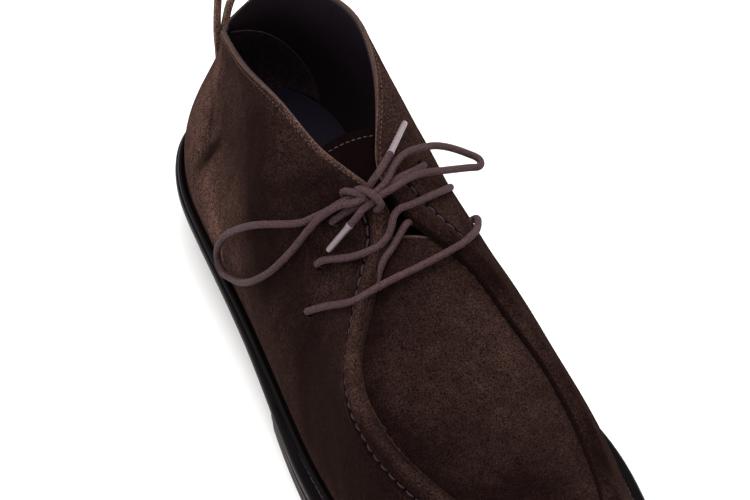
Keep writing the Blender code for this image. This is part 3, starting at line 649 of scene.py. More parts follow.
def finish_group(name, inputs):
    """A new shader group that puts out colour, roughness and height; inputs gives names to defaults."""
    tree = bpy.data.node_groups.new(name, "ShaderNodeTree")
    for title, default in inputs.items():
        kind = "NodeSocketColor" if isinstance(default, tuple) else "NodeSocketFloat"
        tree.interface.new_socket(title, in_out="INPUT", socket_type=kind).default_value = default
    for title, kind in FINISH_SOCKETS.items():
        tree.interface.new_socket(title, in_out="OUTPUT", socket_type=kind)
    return tree, tree.nodes.new("NodeGroupInput").outputs, tree.nodes.new("NodeGroupOutput").inputs


def blend_colours(tree, share, first, second):
    made = node(tree, "ShaderNodeMix", data_type="RGBA", clamp_factor=False)
    for socket, value in ((made.inputs[0], share), (made.inputs[6], first), (made.inputs[7], second)):
        tree.links.new(value, socket)
    return made.outputs[2]


# What every finish's group puts out.
FINISH_SOCKETS = {"Colour": "NodeSocketColor", "Roughness": "NodeSocketFloat", "Height": "NodeSocketFloat"}
FULL_TURN = 2 * np.pi

# How the nap's fibres and its brush marks are drawn out on each axis, and the least light that it gives.
FIBRE_DRAWN = (1.0, 0.7, 0.42)
STREAK_DRAWN = (1.0, 0.8, 0.45)
STREAKS_PER_CLOUD = 6.0
LEAST_NAP = 0.11


def nap_group():
    """Brushed suede: fine fibres, streaky brush marks and a tone painted on the mesh, which also carries
    painted light and shade.
    """
    tree, given, out = finish_group("Nap", {
        "Dark": (0, 0, 0, 1), "Light": (1, 1, 1, 1), "Fibre": 0.00043, "Cloud": 0.026,
        "Fibre contrast": 8.0, "Cloud contrast": 0.62, "Streak contrast": 2.2, "Base": 0.33,
    })
    place = node(tree, "ShaderNodeTexCoord").outputs["Object"]
    brushed_along, combed = (
        node(tree, "ShaderNodeMapping", {"Vector": place, "Scale": drawn}).outputs[0]
        for drawn in (STREAK_DRAWN, FIBRE_DRAWN)
    )
    per_cloud = maths(tree, "DIVIDE", 1.0, given["Cloud"])
    fibre = noise(tree, combed, maths(tree, "DIVIDE", 1.0, given["Fibre"]), 4.0, 0.7)
    per_streak = maths(tree, "MULTIPLY", per_cloud, STREAKS_PER_CLOUD)
    streak = noise(tree, brushed_along, per_streak, 5.0, 0.7, 0.8)
    cloud = noise(tree, place, per_cloud, 4.0, 0.62, 0.6)
    tone = node(tree, "ShaderNodeAttribute", attribute_name="tone").outputs["Fac"]
    fine = maths(tree, "MULTIPLY_ADD", maths(tree, "SUBTRACT", fibre, 0.5), given["Fibre contrast"], 1.0)
    fine = maths(tree, "MAXIMUM", fine, 0.0)
    long = maths(tree, "MULTIPLY_ADD", maths(tree, "SUBTRACT", streak, 0.5), given["Streak contrast"], 1.0)
    wide = swing(tree, cloud, given["Cloud contrast"])
    share = maths(tree, "ADD", maths(tree, "ADD", given["Base"], wide), tone)
    share = maths(tree, "MAXIMUM", share, LEAST_NAP)
    share = maths(tree, "MULTIPLY", share, maths(tree, "MULTIPLY", fine, long))
    share = maths(tree, "MAXIMUM", share, 0.0)
    tree.links.new(blend_colours(tree, share, given["Dark"], given["Light"]), out["Colour"])
    tree.links.new(maths(tree, "MULTIPLY_ADD", fibre, -0.12, 1.0), out["Roughness"])
    tree.links.new(maths(tree, "MULTIPLY_ADD", streak, 2.0, fibre), out["Height"])
    return tree


def braid_group():
    """A round braided lace: two families of strands that cross, read from the Braid map."""
    tree, given, out = finish_group("Braid", {
        "Shade": (0, 0, 0, 1), "Fleck": (1, 1, 1, 1), "Strands": float(BRAID_STRANDS), "Dust": 0.3,
    })
    spot = node(tree, "ShaderNodeUVMap", uv_map="Braid").outputs[0]
    parts = node(tree, "ShaderNodeSeparateXYZ", {0: spot})
    run = maths(tree, "MULTIPLY", parts.outputs[0], FULL_TURN)
    turn = maths(tree, "MULTIPLY", maths(tree, "MULTIPLY", parts.outputs[1], FULL_TURN), given["Strands"])
    rising = maths(tree, "SINE", maths(tree, "ADD", run, turn))
    falling = maths(tree, "SINE", maths(tree, "SUBTRACT", run, turn))
    strand = maths(tree, "ABSOLUTE", maths(tree, "MULTIPLY", rising, falling))
    place = node(tree, "ShaderNodeTexCoord").outputs["Object"]
    speckle = noise(tree, place, 1800.0, 2.0)
    wide = noise(tree, place, 90.0, 2.0)
    share = maths(tree, "ADD", swing(tree, strand, 3.0, 0.48), swing(tree, speckle, 2.5))
    share = maths(tree, "ADD", share, swing(tree, wide, given["Dust"]))
    share = node(tree, "ShaderNodeClamp", {"Value": share}).outputs[0]
    tree.links.new(blend_colours(tree, share, given["Shade"], given["Fleck"]), out["Colour"])
    tree.links.new(maths(tree, "MULTIPLY_ADD", strand, -0.2, 0.72), out["Roughness"])
    tree.links.new(maths(tree, "MULTIPLY_ADD", speckle, 0.5, strand), out["Height"])
    return tree


def grain_group():
    """Fine smooth leather, rubber or thread: small cells with a little wear and dust."""
    tree, given, out = finish_group("Grain", {
        "Colour": (0, 0, 0, 1), "Dust colour": (1, 1, 1, 1), "Cell": 0.0009, "Dust": 0.05, "Roughness": 0.5,
    })
    place = node(tree, "ShaderNodeTexCoord").outputs["Object"]
    per_cell = maths(tree, "DIVIDE", 1.0, given["Cell"])
    cell = node(tree, "ShaderNodeTexVoronoi", {"Vector": place, "Scale": per_cell}).outputs["Distance"]
    wide = noise(tree, place, 60.0, 6.0, 0.7)
    share = maths(tree, "MULTIPLY", maths(tree, "MULTIPLY", wide, wide), given["Dust"])
    tree.links.new(blend_colours(tree, share, given["Colour"], given["Dust colour"]), out["Colour"])
    tree.links.new(maths(tree, "ADD", given["Roughness"], swing(tree, wide, 0.3)), out["Roughness"])
    tree.links.new(maths(tree, "MULTIPLY_ADD", wide, 0.6, cell), out["Height"])
    return tree


def surface(name, group, values, bump=0.3, depth=0.0002, shine=0.1, **constants):
    """A material: its group feeds colour, roughness and bump, and the constants stand on the shader.

    The values set the group's inputs, where a word names one of the shoe's colours.
    """
    made = bpy.data.materials.get(name)
    if made:
        return made
    made = bpy.data.materials.new(name)
    made.use_nodes = True
    tree = made.node_tree
    shader = tree.nodes["Principled BSDF"]
    shader.inputs["Specular IOR Level"].default_value = shine
    for key, value in constants.items():
        shader.inputs[key].default_value = value
    shared = bpy.data.node_groups.get(group.__name__) or group()
    shared.name = group.__name__
    worked = node(tree, "ShaderNodeGroup", node_tree=shared)
    for key, value in values.items():
        if isinstance(value, str):
            value = (*getattr(bpy.context.scene.shoe_colours, value), 1)
        worked.inputs[key].default_value = value
    height = worked.outputs["Height"]
    lift = node(tree, "ShaderNodeBump", {"Strength": bump, "Distance": depth, "Height": height})
    tree.links.new(worked.outputs["Colour"], shader.inputs["Base Color"])
    tree.links.new(worked.outputs["Roughness"], shader.inputs["Roughness"])
    tree.links.new(lift.outputs[0], shader.inputs["Normal"])
    return made


SHEEN = {"Sheen Weight": 0.02, "Sheen Roughness": 0.5, "Sheen Tint": (0.80, 0.50, 0.42, 1)}


def suede():
    return surface("brushed_suede", nap_group, {"Dark": "suede", "Light": "suede_light"}, 0.6, 0.00045, 0,
                   **SHEEN)


# Painted shade: the tongue's suede is made darker for the shade that falls on it inside the throat.
def shaded_tongue_suede():
    return surface("shaded_tongue_suede", nap_group, {"Dark": "shaded_tongue_dark", "Light": "shaded_tongue_nap", "Base": 0.5,
                   "Cloud contrast": 0.6, "Fibre contrast": 3.0}, 0.4, 0.0003, 0)


def cut_edge():
    return surface("cut_suede", nap_group, {"Dark": "suede_light", "Light": "raw_edge", "Base": 0.75,
                   "Cloud contrast": 0.3}, 0.5, 0.0003, 0, **SHEEN)


def lining():
    return surface("lining_leather", grain_group, {"Colour": "lining", "Dust colour": "grip", "Dust": 0.3,
                   "Roughness": 0.6}, 0.15, 0.0001, 0.06)


def heel_grip():
    return surface("heel_grip_nap", nap_group, {"Dark": "lining", "Light": "grip", "Base": 0.7}, shine=0)


def sock():
    return surface("sock_leather", grain_group, {"Colour": "sock", "Dust colour": "grip", "Dust": 0.25},
                   0.12, 0.0001, 0.12)


def rubber():
    """Black rubber, with a gleam painted on the mesh where it is polished."""
    fresh = "welt_rubber" not in bpy.data.materials
    made = surface("welt_rubber", grain_group, {"Colour": "rubber", "Dust colour": "suede_light",
                   "Roughness": 0.4, "Cell": 0.0006}, 0.08, 0.0001, 0.03, **{"Coat Roughness": 0.3})
    if fresh:
        tree = made.node_tree
        gleam = node(tree, "ShaderNodeAttribute", attribute_name="gleam").outputs["Fac"]
        tree.links.new(gleam, tree.nodes["Principled BSDF"].inputs["Coat Weight"])
    return made


def brown_rubber():
    return surface("brown_rubber", grain_group, {"Colour": "outsole", "Dust colour": "suede_light",
                   "Dust": 0.12, "Roughness": 0.55, "Cell": 0.0006}, 0.15, 0.0001)


def lace_cotton():
    return surface("lace_cotton", braid_group, {"Shade": "lace", "Fleck": "lace_fleck"},
                   0.35, 0.00015, 0.04)


def thread(name):
    """Twisted thread of the colour with that name."""
    return surface(name, grain_group, {"Colour": name, "Dust colour": name, "Cell": 0.0003,
                   "Roughness": 0.6}, depth=0.0001)


def tip_wrap():
    return surface("tip_wrap", grain_group, {"Colour": "tip", "Dust colour": "lace", "Dust": 0.5,
                   "Roughness": 0.3, "Cell": 0.002}, 0.1, shine=0.5, **{"Coat Weight": 0.4})


# Meshes

# Points this near each other, in metres, are made one.
MEND_WITHIN = 1e-5
MEND_APRON_WITHIN = 2e-5


def grid_faces(rows, columns, closed, first=0):
    """Quads of a grid of points, row by row from index first; closed joins its last column to its first."""
    faces = []
    for r in range(rows - 1):
        for c in range(columns if closed else columns - 1):
            a, b = first + r * columns + c, first + r * columns + (c + 1) % columns
            faces.append((a, b, b + columns, a + columns))
    return faces


def ring_faces(rows, columns):
    """Quads of closed rings whose last one meets the first."""
    last = (rows - 1) * columns
    closing = [(last + i, last + (i + 1) % columns, (i + 1) % columns, i) for i in range(columns)]
    return grid_faces(rows, columns, closed=True) + closing


def tube_faces(rings, sides):
    """Faces of a tube with a flat cap at each end."""
    cap, last = tuple(range(sides)), (rings - 1) * sides
    return [*grid_faces(rings, sides, closed=True), cap[::-1], tuple(last + i for i in cap)]


def sheet_faces(rows, columns):
    """Faces of a grid of points, of a second grid under it, and of the edge between them.

    The edge comes last, and starts with the faces along the first row.
    """
    size = rows * columns
    faces = grid_faces(rows, columns, closed=False)
    faces += [face[::-1] for face in grid_faces(rows, columns, closed=False, first=size)]
    index = np.arange(size).reshape(rows, columns)
    border = [*index[0, ::-1], *index[1:, 0], *index[-1, 1:], *index[-2:0:-1, -1]]
    return faces + [(a, b, b + size, a + size) for a, b in zip(border, border[1:] + border[:1])]


def outward(points, faces):
    """The faces of a closed mesh, all turned round if they face inwards."""
    volume = 0.0
    for face in faces:
        p = points[list(face)]
        for k in range(1, len(face) - 1):
            volume += np.dot(p[0], np.cross(p[k], p[k + 1]))
    # The shoe's directions are left-handed, so an outward mesh has a negative sum here.
    return faces if volume < 0 else [face[::-1] for face in faces]


def show(name, data):
    """An object that holds the data, in the scene."""
    made = bpy.data.objects.new(name, data)
    bpy.context.scene.collection.objects.link(made)
    return made


def piece(name, points, faces, materials, slots=None, sharp=60, turn=True):
    """A smooth mesh object from points in the shoe's millimetres; slots gives each face's material."""
    points = np.asarray(points, float)
    if turn:
        faces = outward(points, faces)
    data = bpy.data.meshes.new(name)
    data.from_pydata(in_metres(points).tolist(), [], faces)
    for made in materials:
        data.materials.append(made)
    if slots is not None:
        data.polygons.foreach_set("material_index", np.asarray(slots, np.int32))
    data.shade_smooth()
    data.set_sharp_from_angle(angle=np.radians(sharp))
    data.update()
    return show(name, data)


def paint(made, name, values):
    """A number for each point of a mesh, which its material reads."""
    layer = made.data.attributes.new(name, "FLOAT", "POINT")
    layer.data.foreach_set("value", np.ravel(values).astype(np.float32))


def belongs(made, slot, *replaced):
    """The piece moves with the shoe and stands for those solids. Its slot is not used."""
    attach(made, "root")
    if replaced:
        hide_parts(*replaced)
    return made


def settle(made):
    """The piece's modifiers turned into its own mesh."""
    graph = bpy.context.evaluated_depsgraph_get()
    data = bpy.data.meshes.new_from_object(made.evaluated_get(graph))
    made.modifiers.clear()
    made.data = data


def mend(made):
    """Merges points that meet, turns the faces outwards and keeps only real corners sharp."""
    clean = bmesh.new()
    clean.from_mesh(made.data)
    bmesh.ops.remove_doubles(clean, verts=clean.verts, dist=MEND_WITHIN)
    bmesh.ops.dissolve_degenerate(clean, edges=clean.edges, dist=MEND_WITHIN / 10)
    bmesh.ops.recalc_face_normals(clean, faces=clean.faces)
    clean.to_mesh(made.data)
    clean.free()
    made.data.set_sharp_from_angle(angle=np.radians(40))


def carve(made, shape, slot=0):
    """Cuts a shape out of a piece, and gives the cut faces that material slot."""
    data = bpy.data.meshes.new("cutter")
    shape.to_mesh(data)
    shape.free()
    for finish in made.data.materials:
        data.materials.append(finish)
    data.polygons.foreach_set("material_index", np.full(len(data.polygons), slot, np.int32))
    cutter = show("cutter", data)
    cut = made.modifiers.new("Cut", "BOOLEAN")
    cut.operation, cut.solver, cut.object = "DIFFERENCE", "EXACT", cutter
    settle(made)
    bpy.data.objects.remove(cutter)


# Upper

UPPER_COLUMNS = 500
UPPER_LOW_ROWS = 34
WALL_SAMPLES = 241
INNER_SEAM_DROP = 3.0

# The share of the seam's width at which it is highest, and the half width of the groove beside it.
CROWN_AT = 0.44
GROOVE_HALF = 0.55
# The hand stitches pucker the seam by this much.
PUCKER = 0.1
# The skin's rows, this far below the seam's width.
NEAR_SEAM = (-0.7, -0.3, 0, 0.3, 0.7, 1.2, 1.8, 2.2, 2.5, 2.9, 3.8, 5.2, 7.2)
# The collar's edge stands out by this much, and its stitches pull it in below.
COLLAR_BEAD = 0.18
COLLAR_STITCH_DROP = 1.7

# How much paler the suede is, or darker if minus: at the welt, on the seam's crown on each side, in its
# groove, on the cut ledge beside it and in a fold; the dark of the groove and the folds is painted shade.
WELT_TONE = 0.45
CROWN_TONE_LATERAL, CROWN_TONE_MEDIAL = 0.36, -0.12
GROOVE_SHADE = -0.6
LEDGE_TONE = 0.3
FOLD_SHADE = -0.85
# On the collar's rim, and how much more towards the throat on the lateral side; on the seam's inner turn.
RIM_TONE, RIM_TONE_THROAT = 0.25, 1.0
TURN_TONE = -0.15
TURN_TONE_LATERAL, TURN_TONE_MEDIAL = 0.3, -0.2


def seam_share(crest):
    """1 where the top edge is the rolled seam round the apron, 0 along the collar."""
    return ease(crest[:, 1], SEAM_START, SEAM_FULL)


def seam_reach(places, crest):
    """How far the rolled seam reaches past the top edge at those places."""
    lateral, medial = (monotone(table, crest[:, 1]) for table in (SEAM_REACH_LATERAL, SEAM_REACH_MEDIAL))
    return np.where(OUTLINE.lateral(places), lateral, medial) * seam_share(crest)


def seam_height(below, share):
    """How far the outside stands proud, that far below the top edge: crown, stitched groove, ledge."""
    width = ridge_width()
    crown = np.clip(1 - ((below / width - CROWN_AT) / (1 - CROWN_AT)) ** 2, 0, 1) * (below < width)
    ledge_end = width + LEDGE_WIDTH
    ledge = ease(below, width + 0.3, width + 0.9) * (1 - ease(below, ledge_end, ledge_end + 0.5))
    rolled = crown * sizes().ridge_crown / MM + LEDGE_HEIGHT * ledge
    rolled -= GROOVE_DEPTH * bump_at(below, width, GROOVE_HALF)
    collar = COLLAR_BEAD * (bump_at(below, 0.7, 0.6) - bump_at(below, COLLAR_STITCH_DROP, 0.5))
    return share * rolled + (1 - share) * collar


def fold_shapes(points):
    """Each fold's depth and, at points of the outside, how near its line they are."""
    for start, end, half, depth in FOLDS:
        start, end = np.array(start, float), np.array(end, float)
        way = end - start
        along = np.clip(((points - start) @ way) / (way @ way), 0, 1)
        away = np.linalg.norm(points - (start + along[..., None] * way), axis=-1)
        yield depth, np.exp(-((away / half) ** 2)) * np.sin(np.pi * (0.15 + 0.7 * along))


class Skin:
    """The upper's outside as a fine grid: rows below the top edge, columns round the shoe."""

    def __init__(self):
        upper, width = Upper(), ridge_width()
        places = upper.even_places(0, OUTLINE.period, UPPER_COLUMNS + 1)[:-1]
        below = np.concatenate([np.linspace(0, width - 1.2, 9), width + np.array(NEAR_SEAM)])
        line = upper.wall(places, np.linspace(1, 0, WALL_SAMPLES))
        crest = line[0]
        self.share = seam_share(crest)
        self.reach = seam_reach(places, crest)
        far = run_of(line)
        tip = unit(line[0] - line[4])
        base, depth = [], []
        for i in range(len(places)):
            lower = np.linspace(below[-1], far[-1, i] + self.reach[i], UPPER_LOW_ROWS + 1)[1:]
            at = np.concatenate([below, lower])
            own = at - self.reach[i]
            column = np.stack([np.interp(own, far[:, i], line[:, i, k]) for k in range(3)], axis=1)
            column += np.minimum(own, 0)[:, None] * -tip[i]
            base.append(column)
            depth.append(at)
        self.lateral = OUTLINE.lateral(places)
        self.base = np.array(base).transpose(1, 0, 2)
        self.below = np.array(depth).T
        down = np.gradient(self.base, axis=0)
        round_shoe = np.roll(self.base, -1, axis=1) - np.roll(self.base, 1, axis=1)
        normal = unit(np.cross(round_shoe, down))
        middle = np.array([0, LENGTH / 2, 40.0])
        self.normal = normal * np.sign(((self.base - middle) * normal)[-len(normal) // 2 :].sum())
        self.up = unit(self.base[0] - self.base[1])
        steps = np.linalg.norm(np.roll(crest, -1, axis=0) - crest, axis=1)
        stitches = steps.cumsum() * MM / sizes().hand_pitch
        pucker = PUCKER * np.sin(FULL_TURN * stitches) * bump_at(self.below, width - 1.5, 2.0)
        hollow = monotone(SEAM_HOLLOW, crest[:, 1]) * ~self.lateral * ease(self.below, width / 2, width + 1)
        hollow *= 1 - ease(self.below, width, HOLLOW_REACH)
        height = seam_height(self.below, self.share) + self.share * pucker - hollow
        height -= sum(depth * near for depth, near in fold_shapes(self.base))
        self.outer = self.base + self.normal * height[..., None]

    def inner(self):
        """The lining's points: a wall's thickness in, and starting lower down where the seam is rolled."""
        rows = np.empty_like(self.base)
        for i, share in enumerate(self.share):
            depth = self.below[:, i]
            wanted = depth + INNER_SEAM_DROP * share * (1 - depth / depth[-1])
            for k in range(3):
                line = self.base[:, i, k] - WALL * self.normal[:, i, k]
                rows[:, i, k] = np.interp(wanted, depth, line)
        return rows

    def row_at(self, below, lift=0.0):
        """Points of the outside that far below the top edge, and the ways they face."""
        points, faces = (
            np.array([
                [np.interp(below, self.below[:, i], rows[:, i, k]) for k in range(3)]
                for i in range(len(self.share))
            ])
            for rows in (self.outer, self.normal)
        )
        return points + faces * lift, faces


# Over the top edge. Collar: share of the wall, rise. Seam: way in towards the apron, drop.
RIM_PROFILE = (
    (0.05, 0.22, 0.12, -0.06), (0.18, 0.36, 0.34, 0.02), (0.36, 0.38, 0.58, 0.32), (0.50, 0.30, 0.74, 0.8),
    (0.56, 0.10, 0.84, 1.4), (0.72, 0.24, 0.98, 2.0), (0.92, 0.14, 1.3, 2.6),
)
RIM_CUT = 5


def rim_rows(skin):
    """Rows over the top edge, from its outside to its inside: rolled on the seam, cut along the collar."""
    top = skin.outer[0]
    ahead = np.roll(top, -1, axis=0) - np.roll(top, 1, axis=0)
    inward = unit(np.cross(ahead, UP))
    inward *= np.sign(((top.mean(axis=0) - top) * inward).sum())
    share = skin.share[:, None]
    rows = []
    for wall_share, rise, way, drop in RIM_PROFILE:
        collar = top + skin.up * rise - skin.normal[0] * wall_share * WALL
        seam = top + inward * way - drop * UP
        rows.append(collar + (seam - collar) * share)
    return np.array(rows)


def nap_and_painted_light(points):
    """How much lighter or darker the suede is at points of it: partly the nap's brushing and partly painted
    light and shade.
    """
    tone = np.zeros(points.shape[:-1])
    for across, along, height, size, amount in TONE_SPOTS:
        away = np.linalg.norm(points - np.array([across, along, height]), axis=-1)
        tone += amount * np.exp(-((away / size) ** 2))
    return tone


def rim_tone(skin):
    """How pale the collar's rim is: palest towards the throat on the lateral side."""
    throat = skin.lateral * ease(skin.base[0, :, 1], 95, 130)
    return (1 - skin.share) * (RIM_TONE + RIM_TONE_THROAT * throat)


def upper_tone(skin):
    """Where the suede is lighter or darker: pale at the welt and the rim, painted shade in the seam's
    groove and the folds, and the tone spots, which are partly the nap's brushing and partly painted light
    and shade.
    """
    below, width = skin.below, ridge_width()
    crown = np.where(skin.lateral, CROWN_TONE_LATERAL, CROWN_TONE_MEDIAL) * bump_at(below, 2.6, 2.2)
    # Painted shade down the seam's stitched groove.
    groove = GROOVE_SHADE * bump_at(below, width, 0.9)
    ledge = LEDGE_TONE * bump_at(below, width + LEDGE_WIDTH + 0.2, 0.35)
    tone = WELT_TONE * np.exp((below - below[-1]) / 4.0) + rim_tone(skin) * bump_at(below, 0.3, 1.0)
    tone += skin.share * (crown + groove + ledge)
    # Painted shade along the folds' creases, strongest where they press in deepest.
    tone += sum(FOLD_SHADE * max(depth, 0) ** 2 * near for depth, near in fold_shapes(skin.base))
    return tone + nap_and_painted_light(skin.outer)


def punch_eyelets(made):
    """Cuts the lace holes right through the upper."""
    punch = bmesh.new()
    radius = sizes().eyelet_radius
    for place, way in EYELETS:
        centre = Vector(in_metres(np.array(place)))
        axis = Vector((way[0], -way[1], way[2])).normalized()
        turn = axis.to_track_quat("Z", "Y").to_matrix().to_4x4()
        bmesh.ops.create_cone(
            punch, cap_ends=True, segments=28, radius1=radius, radius2=radius, depth=12 * MM,
            matrix=Matrix.Translation(centre - axis * MM) @ turn,
        )
    carve(made, punch, slot=2)


def make_upper(skin):
    """The outside, the rolled or cut top edge and the lining as one closed shell with punched eyelets."""
    rim = rim_rows(skin)
    grid = np.concatenate([skin.outer[::-1], rim, skin.inner()])
    rows, columns = grid.shape[:2]
    outside = len(skin.outer)
    rolled = skin.share > 0.5
    slots = np.zeros((rows, columns), int)
    slots[outside - 1 :] = 2
    slots[outside - 1 : outside + RIM_CUT] = 1
    slots[outside - 1 : outside + len(rim)][:, rolled] = 0
    tone = np.zeros((rows, columns))
    tone[:outside] = upper_tone(skin)[::-1]
    turn = skin.share * np.where(skin.lateral, TURN_TONE_LATERAL, TURN_TONE_MEDIAL)
    tone[outside : outside + len(rim)] = rim_tone(skin) + TURN_TONE + turn
    finishes = [suede(), cut_edge(), lining()]
    made = piece("upper_leather", grid.reshape(-1, 3), ring_faces(rows, columns), finishes, slots.ravel())
    paint(made, "tone", tone)
    punch_eyelets(made)
    belongs(made, "suede", "upper")


# Apron

APRON_ROWS = 150
APRON_COLUMNS = 61
APRON_THICK = 1.6
# How far the apron goes in under the seam's top edge, and below it.
APRON_TUCK = 0.4
APRON_BELOW = 2.1
# How flat its crown is across.
APRON_FLATNESS = 2.2

# The apron's own tone, and how it changes near the lateral and the medial side of the seam: amount, reach.
APRON_TONE = 0.04
LATERAL_SHADE, LATERAL_SHADE_REACH = -0.34, 8.0
MEDIAL_SHADE, MEDIAL_SHADE_REACH = -0.15, 1.5
MEDIAL_GLOW, MEDIAL_GLOW_REACH = 0.14, 9.0
# The lateral shade fades between these stations, down to this share of itself.
SHADE_FADE = (200, 232)
SHADE_LEFT = 0.2


def seam_edges():
    """The places of the seam from the throat to the toe's tip, on the lateral and the medial side."""
    upper = Upper()
    start, end = OUTLINE.place_of(APRON_FOOT_LATERAL, True), OUTLINE.place_of(APRON_FOOT_MEDIAL, False)
    return [upper.even_places(foot, upper.ridge_tip(), APRON_ROWS) for foot in (start, end)]


def top_line(places):
    """The seam's top edge at those places, with the level direction towards the apron."""
    line = Upper().wall(places, (1, 0.985))
    crest = line[0]
    tip = unit(line[0] - line[1])
    top = crest + tip * seam_reach(places, crest)[:, None]
    inward = unit(np.cross(np.gradient(top, axis=0), UP))
    return top, inward * np.sign((tip * inward).sum(axis=1))[:, None]


def make_apron():
    """The plug inside the rolled seam, crowned along its middle, with a pale cut edge at the throat."""
    sides = []
    for places in seam_edges():
        line, inward = top_line(places)
        sides.append(line - inward * APRON_TUCK - APRON_BELOW * UP)
    share = np.linspace(0, 1, APRON_COLUMNS)
    rows = []
    for left, right in zip(*sides):
        row = left + (right - left) * share[:, None]
        middle = (left + right) / 2
        lift = max(0.0, float(monotone(APRON_CROWN, middle[1:2])[0]) - middle[2])
        row[:, 2] += lift * (1 - np.abs(2 * share - 1) ** APRON_FLATNESS)
        rows.append(row)
    top = np.array(rows)
    points = np.concatenate([top, top - APRON_THICK * UP]).reshape(-1, 3)
    faces = sheet_faces(APRON_ROWS, APRON_COLUMNS)
    edge = len(faces) - 2 * (APRON_ROWS + APRON_COLUMNS - 2)
    throat = np.r_[: APRON_COLUMNS - 1, edge : edge + APRON_COLUMNS - 1]
    slots = np.zeros(len(faces), int)
    slots[throat] = 1
    wide = np.linalg.norm(sides[1] - sides[0], axis=1)[:, None]
    lateral, medial = share * wide, (1 - share) * wide
    fade = 1 - (1 - SHADE_LEFT) * ease(top[..., 1], *SHADE_FADE)
    # The tone spots bring painted light and shade as well as the nap's brushing; the lateral shade is
    # painted shade beside the seam.
    tone = APRON_TONE + nap_and_painted_light(top) + LATERAL_SHADE * fade * np.exp(-lateral / LATERAL_SHADE_REACH)
    tone += MEDIAL_SHADE * np.exp(-medial / MEDIAL_SHADE_REACH)
    tone += MEDIAL_GLOW * np.exp(-medial / MEDIAL_GLOW_REACH)
    made = piece("apron", points, faces, [suede(), cut_edge()], slots, turn=False)
    paint(made, "tone", np.concatenate([tone, tone]))
    clean = bmesh.new()
    clean.from_mesh(made.data)
    bmesh.ops.remove_doubles(clean, verts=clean.verts, dist=MEND_APRON_WITHIN)
    bmesh.ops.recalc_face_normals(clean, faces=clean.faces)
    clean.to_mesh(made.data)
    clean.free()
    belongs(made, "suede")


# Stitches

STITCH_SEED = 7
# Dash is a stitch's share of its pitch. Thread is its radius, Arch how high it bows, both in metres, and
# Sway how far it turns, in radians.
HAND_STITCH = {"Dash": 0.72, "Thread": 0.00043, "Arch": 0.00035, "Sway": 0.1}
MACHINE_STITCH = {"Dash": 0.42, "Thread": 0.00016, "Arch": 0.00016, "Sway": 0.1}
WELT_STITCH = {"Dash": 0.8, "Thread": 0.0004, "Arch": 0.00025, "Sway": 0.25}

# The outer hand stitches lie this far below the seam's width and out from it, and less far out from
# the first of these stations to the second.
OUTER_STITCH_DROP, OUTER_STITCH_LIFT = 0.4, 0.75
OUTER_STITCH_SINK, SINK_STATIONS = 0.5, (190, 225)
# The inner ones lie this far in from the seam's top edge and under it, and lean in by this much.
INNER_STITCH_IN, INNER_STITCH_DOWN, INNER_STITCH_LEAN = 1.25, 1.75, 0.8
# The machine stitches' height over the leather, and a dash's share of its pitch on the tongue.
COLLAR_STITCH_LIFT = 0.05
TONGUE_DASH = 0.6


def stitch_tree():
    """Geometry nodes that lay a row of stitches along a path whose points hold the way they face."""
    tree = bpy.data.node_groups.new("Stitch row", "GeometryNodeTree")
    face = tree.interface
    face.new_socket("Path", in_out="INPUT", socket_type="NodeSocketGeometry")
    for title in ("Pitch", "Dash", "Thread", "Arch", "Sway"):
        face.new_socket(title, in_out="INPUT", socket_type="NodeSocketFloat")
    face.new_socket("Material", in_out="INPUT", socket_type="NodeSocketMaterial")
    face.new_socket("Stitches", in_out="OUTPUT", socket_type="NodeSocketGeometry")
    given = tree.nodes.new("NodeGroupInput").outputs
    out = tree.nodes.new("NodeGroupOutput").inputs

    def times(value, factor):
        return node(tree, "ShaderNodeMath", {0: value, 1: factor}, operation="MULTIPLY").outputs[0]

    def point(x, z):
        return node(tree, "ShaderNodeCombineXYZ", {0: x, 2: z}).outputs[0]

    half, sunk = times(times(given["Pitch"], given["Dash"]), 0.5), times(given["Arch"], -1.0)
    bow = node(tree, "GeometryNodeCurveQuadraticBezier", {
        "Resolution": 4, "Start": point(times(half, -1.0), sunk), "End": point(half, sunk),
        "Middle": point(0.0, times(given["Arch"], 2.4))})
    ring = node(tree, "GeometryNodeCurvePrimitiveCircle", {"Resolution": 6, "Radius": given["Thread"]})
    dash = node(tree, "GeometryNodeCurveToMesh", {
        "Curve": bow.outputs[0], "Profile Curve": ring.outputs[0], "Fill Caps": True})
    curve = node(tree, "GeometryNodeMeshToCurve", {0: given["Path"]})
    even = node(tree, "GeometryNodeResampleCurve", {"Curve": curve.outputs[0], "Length": given["Pitch"]},
                mode="LENGTH")
    ahead = node(tree, "FunctionNodeAlignRotationToVector",
                 {"Vector": tree.nodes.new("GeometryNodeInputTangent").outputs[0]}, axis="X")
    lean = node(tree, "GeometryNodeInputNamedAttribute", {"Name": "lean"}, data_type="FLOAT_VECTOR")
    upright = node(tree, "FunctionNodeAlignRotationToVector",
                   {"Rotation": ahead.outputs[0], "Vector": lean.outputs[0]}, axis="Z", pivot_axis="X")
    yaw = node(tree, "FunctionNodeRandomValue", data_type="FLOAT")
    tree.links.new(times(given["Sway"], -1.0), yaw.inputs[2])
    tree.links.new(given["Sway"], yaw.inputs[3])
    yaw.inputs["Seed"].default_value = STITCH_SEED
    turn = node(tree, "ShaderNodeCombineXYZ", {2: yaw.outputs[1]}).outputs[0]
    turned = node(tree, "FunctionNodeRotateRotation", {"Rotation": upright.outputs[0], "Rotate By": turn},
                  rotation_space="LOCAL")
    rows = node(tree, "GeometryNodeInstanceOnPoints", {
        "Points": even.outputs[0], "Instance": dash.outputs[0], "Rotation": turned.outputs[0]})
    solid = node(tree, "GeometryNodeRealizeInstances", {0: rows.outputs[0]})
    smooth = node(tree, "GeometryNodeSetShadeSmooth", {0: solid.outputs[0]})
    painted = node(tree, "GeometryNodeSetMaterial", {0: smooth.outputs[0], "Material": given["Material"]})
    tree.links.new(painted.outputs[0], out[0])
    return tree


